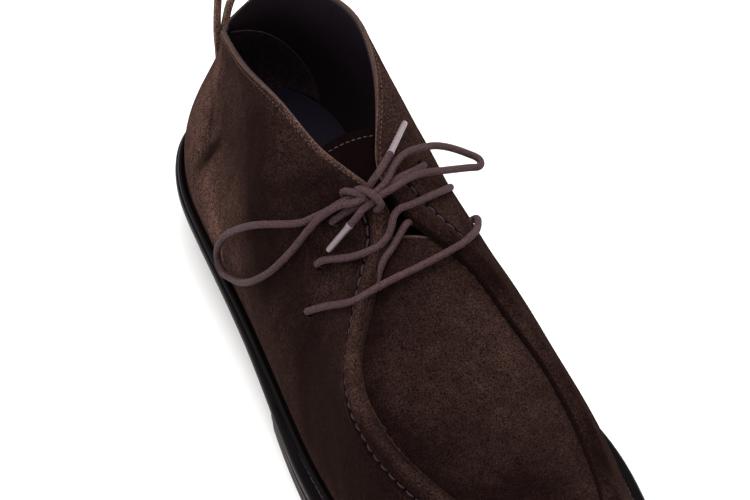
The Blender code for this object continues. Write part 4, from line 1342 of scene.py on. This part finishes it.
def sew(name, runs, values, colour_name):
    """One piece of stitches along runs, each (points in the shoe's millimetres, ways they face)."""
    tree = bpy.data.node_groups.get("Stitch row") or stitch_tree()
    points, edges, ways = [], [], []
    for line, faces in runs:
        first = len(points)
        points += in_metres(line).tolist()
        edges += [(first + i, first + i + 1) for i in range(len(line) - 1)]
        ways += (faces * np.array([1, -1, 1])).tolist()
    data = bpy.data.meshes.new(name)
    data.from_pydata(points, edges, [])
    data.attributes.new("lean", "FLOAT_VECTOR", "POINT").data.foreach_set("vector", np.ravel(ways))
    made = show(name, data)
    rows = made.modifiers.new("Stitches", "NODES")
    rows.node_group = tree
    named = {item.name: item.identifier for item in tree.interface.items_tree if item.in_out == "INPUT"}
    for title, value in (values | {"Material": thread(colour_name)}).items():
        rows[named[title]] = value
    settle(made)
    belongs(made, "lace")


def run_between(points, faces, keep):
    """The stretches of a closed row where keep is true, as separate runs."""
    n = len(points)
    start = next(i for i in range(n) if keep[i] and not keep[i - 1])
    runs, current = [], []
    for k in range(n + 1):
        i = (start + k) % n
        if keep[i] and k < n:
            current.append(i)
        elif current:
            runs.append((points[current], faces[current]))
            current = []
    return runs


def make_stitches(skin):
    """The hand stitches on both sides of the rolled seam, and the machine rows of the collar and tongue."""
    along = skin.base[0, :, 1]
    hand = {"Pitch": sizes().hand_pitch, **HAND_STITCH}
    points, faces = skin.row_at(ridge_width() + OUTER_STITCH_DROP, lift=OUTER_STITCH_LIFT)
    points = points - faces * OUTER_STITCH_SINK * ease(points[:, 1], *SINK_STATIONS)[:, None]
    sew("apron_stitches", run_between(points, faces, along > SEAM_FULL), hand, "hand_thread")
    lines, ways = [], []
    for places, start, order in zip(seam_edges(), INNER_STITCH_START, (1, -1)):
        top, inward = top_line(places)
        seen = top[:, 1] > start
        lines.append((top + inward * INNER_STITCH_IN - INNER_STITCH_DOWN * UP)[seen][::order])
        ways.append(unit(inward * INNER_STITCH_LEAN + UP)[seen][::order])
    sew("apron_inner_stitches", [(np.concatenate(lines), np.concatenate(ways))], hand, "shaded_thread")
    fine = {"Pitch": sizes().collar_pitch, **MACHINE_STITCH}
    points, faces = skin.row_at(COLLAR_STITCH_DROP, lift=COLLAR_STITCH_LIFT)
    sew("collar_stitches", run_between(points, faces, along < SEAM_START + 1), fine, "collar_thread")
    sew("tongue_stitches", [tongue_line()], fine | {"Dash": TONGUE_DASH}, "collar_thread")


# Tongue

TONGUE_ROWS = 90
TONGUE_COLUMNS = 61
# The row of the tongue's grid that its stitches follow, and how many columns they leave free at each side.
TONGUE_STITCH_ROW = 12
TONGUE_STITCH_ENDS = 4


def tongue_grid():
    """Points of the tongue's upper side and the ways they face."""
    table = np.array(TONGUE_SECTIONS)
    along = table[0, 0] + (table[-1, 0] - table[0, 0]) * np.linspace(0, 1, TONGUE_ROWS) ** 1.6
    across, height, half = (monotone(table[:, (0, k)], along)[:, None] for k in (1, 2, 3))
    side = np.linspace(-1, 1, TONGUE_COLUMNS) * half
    top = np.stack([across + side, along[:, None] + 0 * side, height - TONGUE_CROWN * side**2], axis=2)
    normal = unit(np.cross(np.gradient(top, axis=1), np.gradient(top, axis=0)))
    return top, normal * np.sign(normal[..., 2:])


def tongue_line():
    """The stitch line just inside the tongue's free edge."""
    points, ways = (
        rows[TONGUE_STITCH_ROW, TONGUE_STITCH_ENDS:-TONGUE_STITCH_ENDS] for rows in tongue_grid()
    )
    return points + ways * 0.1, ways


def make_tongue():
    """The tongue: suede above, lining below and a cut edge."""
    top, normal = tongue_grid()
    points = np.concatenate([top, top - normal * TONGUE_THICK]).reshape(-1, 3)
    faces = sheet_faces(TONGUE_ROWS, TONGUE_COLUMNS)
    side = (TONGUE_ROWS - 1) * (TONGUE_COLUMNS - 1)
    slots = np.zeros(len(faces), int)
    slots[side : 2 * side] = 1
    made = piece("tongue_leather", points, faces, [shaded_tongue_suede(), lining()], slots, sharp=50)
    paint(made, "tone", np.zeros(len(points)))
    belongs(made, "suede", "tongue")


# Inside

# The heel grip reaches this far to each side of the heel's back, and up these shares of the wall.
GRIP_SPAN = 42.0
GRIP_LOW = 0.10
GRIP_HIGH = 0.92
GRIP_ROWS = 40
GRIP_COLUMNS = 81
# How deep its face and its back lie under the upper's outside.
GRIP_DEPTHS = (WALL + 0.5, WALL - 0.2)


def slab(name, levels, material):
    """A closed slab through levels, each a lateral and a medial row at the same stations."""
    rings = [np.concatenate([lateral, medial[::-1]]) for lateral, medial in levels]
    n = len(rings[0])
    faces = grid_faces(len(rings), n, closed=True)
    for first, flip in ((0, 1), ((len(rings) - 1) * n, -1)):
        for i in range(n // 2 - 1):
            faces.append((first + i, first + i + 1, first + n - 2 - i, first + n - 1 - i)[::flip])
    made = piece(name, np.concatenate(rings), faces, [material], turn=False)
    mend(made)
    return made


def make_sock():
    """The insole under its cover, with a soft edge."""
    inset = deeper(FEATHER_INSET, WALL + SOFT_EDGE)
    levels = [level(inset, below_welt(-GAP)), level(inset, insole_top(SOFT_EDGE)),
              level(deeper(inset, 0.25), insole_top(0.25)), level(deeper(inset, SOFT_EDGE), insole_top(0))]
    belongs(slab("sock_cover", levels, sock()), "lining", "insole")


def make_heel_grip():
    """A thin brushed patch inside the heel, with an arched top edge."""
    upper = Upper()
    places = upper.even_places(-60, 60, 4001)
    reach = run_of(OUTLINE.at(places)[0])
    back = np.interp(0, places, reach)
    places = np.interp(np.linspace(back - GRIP_SPAN, back + GRIP_SPAN, GRIP_COLUMNS), reach, places)
    shares = np.linspace(0, 1, 60)
    wall = upper.wall(places, shares)
    arch = np.sqrt(np.clip(1 - np.linspace(-1, 1, GRIP_COLUMNS) ** 2, 0.02, 1))
    share = GRIP_LOW + (GRIP_HIGH - GRIP_LOW) * arch * np.linspace(0, 1, GRIP_ROWS)[:, None]
    grid = np.array([[[np.interp(row[c], shares, wall[:, c, k]) for k in range(3)]
                      for c in range(GRIP_COLUMNS)] for row in share])
    normal = unit(np.cross(np.gradient(grid, axis=1), np.gradient(grid, axis=0)))
    middle = grid.mean(axis=(0, 1)) + np.array([0, 30, 0])
    normal *= np.sign(((grid - middle) * normal).sum())
    points = np.concatenate([grid - normal * depth for depth in GRIP_DEPTHS]).reshape(-1, 3)
    made = piece("heel_grip_patch", points, sheet_faces(GRIP_ROWS, GRIP_COLUMNS), [heel_grip()], turn=False)
    mend(made)
    belongs(made, "lining")


# Pull loop

# How pale its nap is painted, as painted light like that on the heel's lit side, and the power that squares
# its folded edges: a smaller one is squarer.
PULL_PAINTED_LIGHT = 2.6
PULL_SQUARENESS = 0.45


def make_pull_strap():
    """A narrow strap whose two ends are sewn to the back of the heel, its edges folded round."""
    line = smooth_line(PULL_LOOP, 110)
    ahead = unit(np.gradient(line, axis=0))
    out = unit(np.array([0, 1.0, 0]) - ahead * ahead[:, 1:2])
    over = np.cross(out, ahead)
    turn = np.linspace(0, FULL_TURN, 24, endpoint=False)
    x, y = (
        wide / 2 * np.sign(way) * np.abs(way) ** PULL_SQUARENESS
        for wide, way in ((PULL_WIDTH, np.cos(turn)), (PULL_THICK, np.sin(turn)))
    )
    grid = line[:, None] + over[:, None] * x[None, :, None] + out[:, None] * y[None, :, None]
    edge = np.abs(np.abs(x) - PULL_WIDTH / 2) < 0.35
    slots = np.tile(np.where(edge & np.roll(edge, -1), 1, 0), len(line) - 1).tolist() + [0, 0]
    faces = tube_faces(*grid.shape[:2])
    made = piece("pull_strap", grid.reshape(-1, 3), faces, [suede(), cut_edge()], slots, turn=False)
    mend(made)
    # Painted light: the whole strap is made pale for the light that falls on it.
    paint(made, "tone", np.full(len(made.data.vertices), PULL_PAINTED_LIGHT))
    belongs(made, "suede", "pull_loop")


# Sole

# Round the welt from its lower outer edge to its lower inner one: share of the feather inset, more
# inset, height over the welt's top.
WELT_PROFILE = (
    (0, 0.9, -WELT_THICK), (0, 0.35, -WELT_THICK + 0.2), (0, 0.05, -WELT_THICK + 0.7),
    (0, 0, -WELT_THICK + 1.2), (0, 0, -1.3), (0, 0.08, -0.85), (0, 0.32, -0.4), (0, 0.7, -0.1), (0, 1.2, 0),
    (0.5, -0.4, 0.02), (1, -3.3, 0), (1, -3.05, 0.05), (1, -2.95, 0.5), (1, -2.75, 1.1), (1, -2.35, 1.5),
    (1, -1.9, 1.65), (1, -1.45, 1.5), (1, -1.05, 1.1), (1, -0.85, 0.5), (1, -0.75, 0.0), (1, -0.3, -0.1),
    (1, 2.0, -0.1), (1, WELT_LEDGE, 0), (1, WELT_LEDGE, -WELT_THICK),
)
# The profile's rows that are polished, and how much: on the rim, and on the bead beside the upper.
RIM_GLEAM_ROWS, RIM_GLEAM = slice(5, 8), np.array([[0.2], [0.35], [0.15]])
BEAD_GLEAM_ROWS, BEAD_GLEAM = slice(13, 17), 0.04

# The tops of the midsole, of the outsole and of the tread and heel, below the welt's top.
MIDSOLE_TOP = WELT_THICK + GAP
OUTSOLE_TOP = MIDSOLE_TOP + MIDSOLE_THICK + GAP
TREAD_TOP = OUTSOLE_TOP + OUTSOLE_THICK + GAP

# Grooves: their stations, how far short of the sides they end, their width and depth.
TREAD_GROOVES = (range(164, 286, 15), 7.0, 4.0, 1.8)
HEEL_GROOVES = ((20, 33, 46, 59), 7.0, 3.5, 2.0)


def welt_line(place, share, more, lift):
    """A line round the welt: its share of the feather inset, more inset, and height over the welt's top."""
    inset = deeper(tuple((along, inset * share) for along, inset in FEATHER_INSET), more)
    line = OUTLINE.inside(place, inset)[0]
    return np.stack([line[:, 1], line[:, 0], welt_top(line[:, 0]) + lift], axis=1)


def make_welt():
    """The storm welt: rounded rim, flat strip, and the bead that hugs the upper."""
    place = np.linspace(0, OUTLINE.period, 361)[:-1]
    grid = np.array([welt_line(place, *row) for row in WELT_PROFILE])
    made = piece("welt_rim", grid.reshape(-1, 3), ring_faces(*grid.shape[:2]), [rubber()], sharp=55)
    gleam = np.zeros(grid.shape[:2])
    gleam[RIM_GLEAM_ROWS] = RIM_GLEAM
    gleam[BEAD_GLEAM_ROWS] = BEAD_GLEAM
    paint(made, "gleam", gleam)
    belongs(made, "rubber", "welt")


def make_welt_stitches():
    """The row of stitches along the welt's flat strip."""
    line = welt_line(np.linspace(0, OUTLINE.period, 900), 0.5, 0.6, 0.06)
    values = {"Pitch": sizes().welt_pitch, **WELT_STITCH}
    sew("welt_stitches", [(line, np.tile(UP, (len(line), 1)))], values, "welt_thread")


def rounded_slab(name, inset, top, low, edge=0.5, start=BEFORE_HEEL):
    """A brown sole layer with softened edges; top and low give its heights."""
    def at(extra, height):
        table = inset + extra if np.isscalar(inset) else deeper(inset, extra)
        return level(table, height, start=start, count=150)

    levels = [at(edge, low), at(0, lambda s: low(s) + edge), at(0, lambda s: top(s) - edge), at(edge, top)]
    return slab(name, levels, brown_rubber())


def make_midsole():
    made = rounded_slab("midsole_layer", 1.0, below_welt(MIDSOLE_TOP),
                        below_welt(MIDSOLE_TOP + MIDSOLE_THICK))
    belongs(made, "tread", "midsole")


def make_outsole():
    made = rounded_slab("outsole_layer", OUTSOLE_INSET, below_welt(OUTSOLE_TOP),
                        below_welt(OUTSOLE_TOP + OUTSOLE_THICK), edge=0.35)
    belongs(made, "tread", "outsole")


def cut_grooves(made, inset, floor, stations, short, width, depth):
    """Cuts grooves across the underside at those stations, that far short of the sole's sides."""
    grooves = bmesh.new()
    lateral, medial = OUTLINE.both_sides(inset, BEFORE_HEEL, PAST_TOE, 200)
    for along in stations:
        low = floor(along)
        ends = float(np.interp(along, *lateral.T)) + short, float(np.interp(along, *medial.T)) - short
        corners = [(x, along + side * width / 2, z) for x in ends for side in (-1, 1)
                   for z in (low - 2, low + depth)]
        bmesh.ops.convex_hull(grooves, input=[grooves.verts.new(p) for p in in_metres(corners)])
    carve(made, grooves)


def tread_floor(along):
    return monotone(TREAD_FLOOR, np.atleast_1d(along))


def make_tread():
    """The forefoot's tread, grooved across."""
    made = rounded_slab("tread_lugs", OUTSOLE_INSET, below_welt(TREAD_TOP), tread_floor, edge=0.4,
                        start=TREAD_START)
    cut_grooves(made, OUTSOLE_INSET, lambda s: float(tread_floor(s)[0]), *TREAD_GROOVES)
    belongs(made, "tread", "forefoot_tread")


def make_heel():
    """The heel block, narrower on the floor and grooved across."""
    layers = [
        level(deeper(HEEL_FLOOR_INSET, 0.5), lambda s: s * 0, end=HEEL_BREAST - 0.5, count=110),
        level(HEEL_FLOOR_INSET, lambda s: s * 0 + 0.5, end=HEEL_BREAST, count=110),
        level(HEEL_TOP_INSET, below_welt(TREAD_TOP + 0.4), end=HEEL_BREAST + 1, count=110),
        level(deeper(HEEL_TOP_INSET, 0.4), below_welt(TREAD_TOP), end=HEEL_BREAST + 1, count=110),
    ]
    made = slab("heel_block", layers, rubber())
    cut_grooves(made, HEEL_FLOOR_INSET, lambda s: 0.0, *HEEL_GROOVES)
    belongs(made, "rubber", "heel")


# Lace

# The braid's repeat along the lace and its strands each way round.
BRAID_STEP = 1.1
BRAID_STRANDS = 8
RING_STEP = 0.4
TUBE_SIDES = 32
# A tip's profile, as place along it and radius: from where it grips the lace, and then back from its end.
TIP_GRIP = ((-0.9, 1.05), (-0.7, 1.30), (-0.2, 1.36), (0.3, 1.22), (1.2, 1.12))
TIP_END = ((-2.5, 1.02), (-0.8, 0.98), (-0.25, 0.85), (0, 0.5))
# The inner strand goes on under the facing at one end and into the shoe at the other.
INNER_STRAND_START = ((-9.6, 168.2, 80.0), (-6.0, 165.4, 84.2))
INNER_STRAND_END = ((7.6, 158.0, 91.0), (9.4, 156.2, 89.0), (10.6, 154.6, 86.5))
# Where the upper strands meet the knot.
LEFT_STRAND_END = (-3.6, 151.0, 100.4)
RIGHT_STRAND_END = (0.5, 150.8, 102.6)


def around(way, side, turn):
    """Directions square to a way, turned from a side by those angles."""
    return side * np.cos(turn)[:, None] + np.cross(way, side) * np.sin(turn)[:, None]


def braided(name, route, *replaced):
    """A lace strand: a tube on a smooth line, with the braid's diamonds standing out and its own map."""
    length = np.linalg.norm(np.diff(np.array(route, float), axis=0), axis=1).sum()
    line = smooth_line(route, max(8, int(length / RING_STEP)))
    ahead = unit(np.gradient(line, axis=0))
    side = unit(np.cross(ahead[0], (0.3, 0.2, 1.0)))
    far = run_of(line) / BRAID_STEP
    turn = np.linspace(0, 1, TUBE_SIDES, endpoint=False)
    rings = []
    for point, way, run in zip(line, ahead, far):
        side = unit(side - way * np.dot(side, way))
        rising, falling = (np.sin(FULL_TURN * (run + hand * BRAID_STRANDS * turn)) for hand in (1, -1))
        out = LACE_WIDTH / 2 + sizes().braid_relief / MM * (np.abs(rising * falling) - 0.5)
        rings.append(point + around(way, side, FULL_TURN * turn) * out[:, None])
    n = len(rings)
    points = np.concatenate([*rings, line[:1], line[-1:]])
    faces = grid_faces(n, TUBE_SIDES, closed=True)
    last = (n - 1) * TUBE_SIDES
    for i in range(TUBE_SIDES):
        j = (i + 1) % TUBE_SIDES
        faces += [(j, i, len(points) - 2), (last + i, last + j, len(points) - 1)]
    made = piece(name, points, faces, [lace_cotton()], sharp=80)
    spots = np.zeros((len(points), 2))
    spots[: n * TUBE_SIDES, 0] = np.repeat(far, TUBE_SIDES)
    spots[: n * TUBE_SIDES, 1] = np.tile(turn, n)
    spots[-1, 0] = far[-1]
    corner = np.empty(len(made.data.loops), np.int32)
    made.data.loops.foreach_get("vertex_index", corner)
    both = spots[corner]
    # A quad whose corners lie on both sides of the map's seam runs on past 1.
    for quad in range((n - 1) * TUBE_SIDES):
        across = both[4 * quad : 4 * quad + 4, 1]
        if across.max() - across.min() > 0.5:
            across[across < 0.5] += 1
    made.data.uv_layers.new(name="Braid").data.foreach_set("uv", both.ravel())
    belongs(made, "lace", *replaced)
    return made, line


def into_eyelet(index, above=0.6, depth=4.5):
    """Points that lead a lace from above an eyelet down into it."""
    place, way = (np.array(part, float) for part in EYELETS[index])
    return [tuple(place + way * above), tuple(place - way * depth)]


def make_bars():
    """The strands between the eyelets, which go down into them, and those from the top pair to the knot."""
    low, middle, inner, left, right = (
        LACE_BARS["lace_" + name]
        for name in ("bar_low", "bar_middle", "inner_strand", "left_strand", "right_strand")
    )
    routes = {
        "bar_low": (*into_eyelet(2)[::-1], *low[1:-1], *into_eyelet(5)),
        "bar_middle": (*into_eyelet(1)[::-1], *middle[1:-2], *into_eyelet(4, above=-0.5)),
        "inner_strand": INNER_STRAND_START + inner + INNER_STRAND_END,
        "left_strand": (*into_eyelet(0)[::-1], *left[1:], LEFT_STRAND_END),
        "right_strand": (*into_eyelet(3, above=-0.5)[::-1], *right[1:], RIGHT_STRAND_END),
    }
    for name, route in routes.items():
        braided("braided_" + name, route, "lace_" + name)


def make_bow():
    """Two cords from the knot: each runs round its loop, back through the knot and on to its tip."""
    for side, across, knot_exit, through in (
        ("left", "right", KNOT_EXIT_LEFT, THROUGH_KNOT_UP),
        ("right", "left", KNOT_EXIT_RIGHT, THROUGH_KNOT_DOWN),
    ):
        loop, end = f"lace_{side}_loop", f"lace_{across}_end"
        cord, line = braided(f"bow_{side}", knot_exit + LACE_BOW[loop] + through + LACE_BOW[end], loop, end)
        tip = make_tip(f"tip_{side}", LACE_BOW[end][-1], LACE_TIPS[end], f"lace_{across}_tip")


def make_tip(name, start, end, tip_node):
    """A lace tip: a tight wrap with a waist where it grips the lace and a blunt, rounded point."""
    start, end = np.array(start, float), np.array(end, float)
    way, length = unit(end - start), np.linalg.norm(end - start)
    out = around(way, unit(np.cross(way, (0.1, 0.3, 1.0))), np.linspace(0, FULL_TURN, 24, endpoint=False))
    profile = TIP_GRIP + tuple((length + at, radius) for at, radius in TIP_END)
    grid = np.array([start + way * at + out * radius for at, radius in profile])
    made = piece(name, grid.reshape(-1, 3), tube_faces(*grid.shape[:2]), [tip_wrap()], sharp=70)
    return belongs(made, "tip", tip_node)


def make_knot():
    """The knot's two visible turns."""
    braided("knot_wrap", KNOT_WRAP, "lace_knot")
    braided("knot_ear", KNOT_EAR)


# Stage

FLOOR_HALF = 4.0
# The floor's grey, which drifts slowly between these.
FLOOR_PALE = (0.90, 0.93)
WORLD_LIGHT = 0.6
# Name, place, size in metres, power in watts, colour. Every light faces the shoe's middle.
LIGHTS = (
    ("above", (0.0, -0.1, 1.7), (2.0, 2.0), 52, (1.0, 0.99, 0.97)),
    ("left", (-1.7, -0.2, 0.9), (0.9, 1.4), 5, (1.0, 0.98, 0.97)),
    ("right", (1.6, 0.5, 0.9), (0.9, 1.2), 6, (1.0, 0.98, 0.97)),
)
LIT_POINT = (0, 0, 0.05)


def soft_light(name, place, size, power, tint):
    data = bpy.data.lights.new(name, "AREA")
    data.shape, data.size, data.size_y = "RECTANGLE", size[0], size[1]
    data.energy, data.color = power, tint
    made = show(name, data)
    made.location = place
    made.rotation_euler = (Vector(LIT_POINT) - Vector(place)).to_track_quat("-Z", "Y").to_euler()


def make_camera():
    data = bpy.data.cameras.new("Camera")
    data.lens, data.sensor_width = CAMERA_LENS, 36.0
    data.clip_start, data.clip_end = 0.05, 20
    made = show("Camera", data)
    axes, _, turn = np.linalg.svd(np.array(CAMERA_AXES).T)
    turn = Matrix((axes @ turn).tolist()).to_4x4()
    made.matrix_world = Matrix.Translation(Vector(CAMERA_PLACE) * MM) @ turn
    bpy.context.scene.camera = made


def make_floor():
    half = FLOOR_HALF
    data = bpy.data.meshes.new("floor")
    corners = [(-half, -half, 0), (half, -half, 0), (half, half, 0), (-half, half, 0)]
    data.from_pydata(corners, [], [(0, 1, 2, 3)])
    pale = bpy.data.materials.new("pale_floor")
    pale.use_nodes = True
    tree = pale.node_tree
    shader = tree.nodes["Principled BSDF"]
    cloud = noise(tree, node(tree, "ShaderNodeTexCoord").outputs["Object"], 2.0, 2.0)
    low, high = FLOOR_PALE
    ramp = node(tree, "ShaderNodeMapRange", {"Value": cloud, "To Min": low, "To Max": high})
    tree.links.new(ramp.outputs[0], shader.inputs["Base Color"])
    shader.inputs["Roughness"].default_value = 0.9
    data.materials.append(pale)
    floor = show("floor", data)


def make_stage():
    """A plain pale floor, soft light from above and from both sides, and the camera."""
    make_camera()
    make_floor()
    world = bpy.data.worlds.new("studio")
    world.use_nodes = True
    sky = world.node_tree.nodes["Background"]
    sky.inputs["Color"].default_value = (1.0, 1.0, 1.0, 1)
    sky.inputs["Strength"].default_value = WORLD_LIGHT
    bpy.context.scene.world = world
    bpy.context.scene.view_settings.view_transform = "Standard"
    for light in LIGHTS:
        soft_light(*light)


# Operators


class SHOE_OT_stage(bpy.types.Operator):
    """Sets up the floor, the studio light and the camera"""

    bl_idname = "shoe.stage"
    bl_label = "Stage"

    def execute(self, context):
        make_stage()
        return {"FINISHED"}


class SHOE_OT_bow(bpy.types.Operator):
    """Makes the bow's two cords with their tips"""

    bl_idname = "shoe.bow"
    bl_label = "Bow"

    def execute(self, context):
        make_bow()
        return {"FINISHED"}


class SHOE_OT_lacing(bpy.types.Operator):
    """Makes the knot and the strands of lace between the eyelets"""

    bl_idname = "shoe.lacing"
    bl_label = "Lacing"

    def execute(self, context):
        make_knot()
        make_bars()
        return {"FINISHED"}


class SHOE_OT_upper(bpy.types.Operator):
    """Makes the suede upper with its rolled seam, folds, eyelets and lining"""

    bl_idname = "shoe.upper"
    bl_label = "Upper"

    def execute(self, context):
        make_upper(Skin())
        return {"FINISHED"}


class SHOE_OT_apron(bpy.types.Operator):
    """Makes the apron inside the rolled seam"""

    bl_idname = "shoe.apron"
    bl_label = "Apron"

    def execute(self, context):
        make_apron()
        return {"FINISHED"}


class SHOE_OT_stitches(bpy.types.Operator):
    """Sews the apron, the collar and the tongue"""

    bl_idname = "shoe.stitches"
    bl_label = "Upper stitches"

    def execute(self, context):
        make_stitches(Skin())
        return {"FINISHED"}


class SHOE_OT_tongue(bpy.types.Operator):
    """Makes the tongue"""

    bl_idname = "shoe.tongue"
    bl_label = "Tongue"

    def execute(self, context):
        make_tongue()
        return {"FINISHED"}


class SHOE_OT_inside(bpy.types.Operator):
    """Makes the covered insole and the patch inside the heel"""

    bl_idname = "shoe.inside"
    bl_label = "Inside"

    def execute(self, context):
        make_sock()
        make_heel_grip()
        return {"FINISHED"}


class SHOE_OT_pull_strap(bpy.types.Operator):
    """Makes the pull strap at the back of the heel"""

    bl_idname = "shoe.pull_strap"
    bl_label = "Pull strap"

    def execute(self, context):
        make_pull_strap()
        return {"FINISHED"}


class SHOE_OT_welt(bpy.types.Operator):
    """Makes the welt and its stitches"""

    bl_idname = "shoe.welt"
    bl_label = "Welt"

    def execute(self, context):
        make_welt()
        make_welt_stitches()
        return {"FINISHED"}


class SHOE_OT_sole(bpy.types.Operator):
    """Makes the midsole, the outsole, the forefoot's tread and the heel"""

    bl_idname = "shoe.sole"
    bl_label = "Sole"

    def execute(self, context):
        make_midsole()
        make_outsole()
        make_tread()
        make_heel()
        return {"FINISHED"}


STEPS = (
    SHOE_OT_stage, SHOE_OT_bow, SHOE_OT_lacing, SHOE_OT_upper, SHOE_OT_apron, SHOE_OT_stitches,
    SHOE_OT_tongue, SHOE_OT_inside, SHOE_OT_pull_strap, SHOE_OT_welt, SHOE_OT_sole,
)


class SHOE_PT_steps(bpy.types.Panel):
    """Lists the steps that make the shoe's finish"""

    bl_idname = "SHOE_PT_steps"
    bl_label = "Derby shoe"
    bl_space_type = "VIEW_3D"
    bl_region_type = "UI"
    bl_category = "Shoe"

    def draw(self, context):
        for made in STEPS:
            self.layout.operator(made.bl_idname)
        for group in (context.scene.shoe_sizes, context.scene.shoe_colours):
            for name in group.__annotations__:
                self.layout.prop(group, name)


CLASSES = (ShoeSizes, ShoeColours, *STEPS, SHOE_PT_steps)


def register():
    for made in CLASSES:
        bpy.utils.register_class(made)
    bpy.types.Scene.shoe_sizes = bpy.props.PointerProperty(type=ShoeSizes)
    bpy.types.Scene.shoe_colours = bpy.props.PointerProperty(type=ShoeColours)


def unregister():
    del bpy.types.Scene.shoe_colours
    del bpy.types.Scene.shoe_sizes
    for made in reversed(CLASSES):
        bpy.utils.unregister_class(made)


def main():
    register()
    for made in STEPS:
        group, name = made.bl_idname.split(".")
        getattr(getattr(bpy.ops, group), name)()


if __name__ == "__main__":
    main()
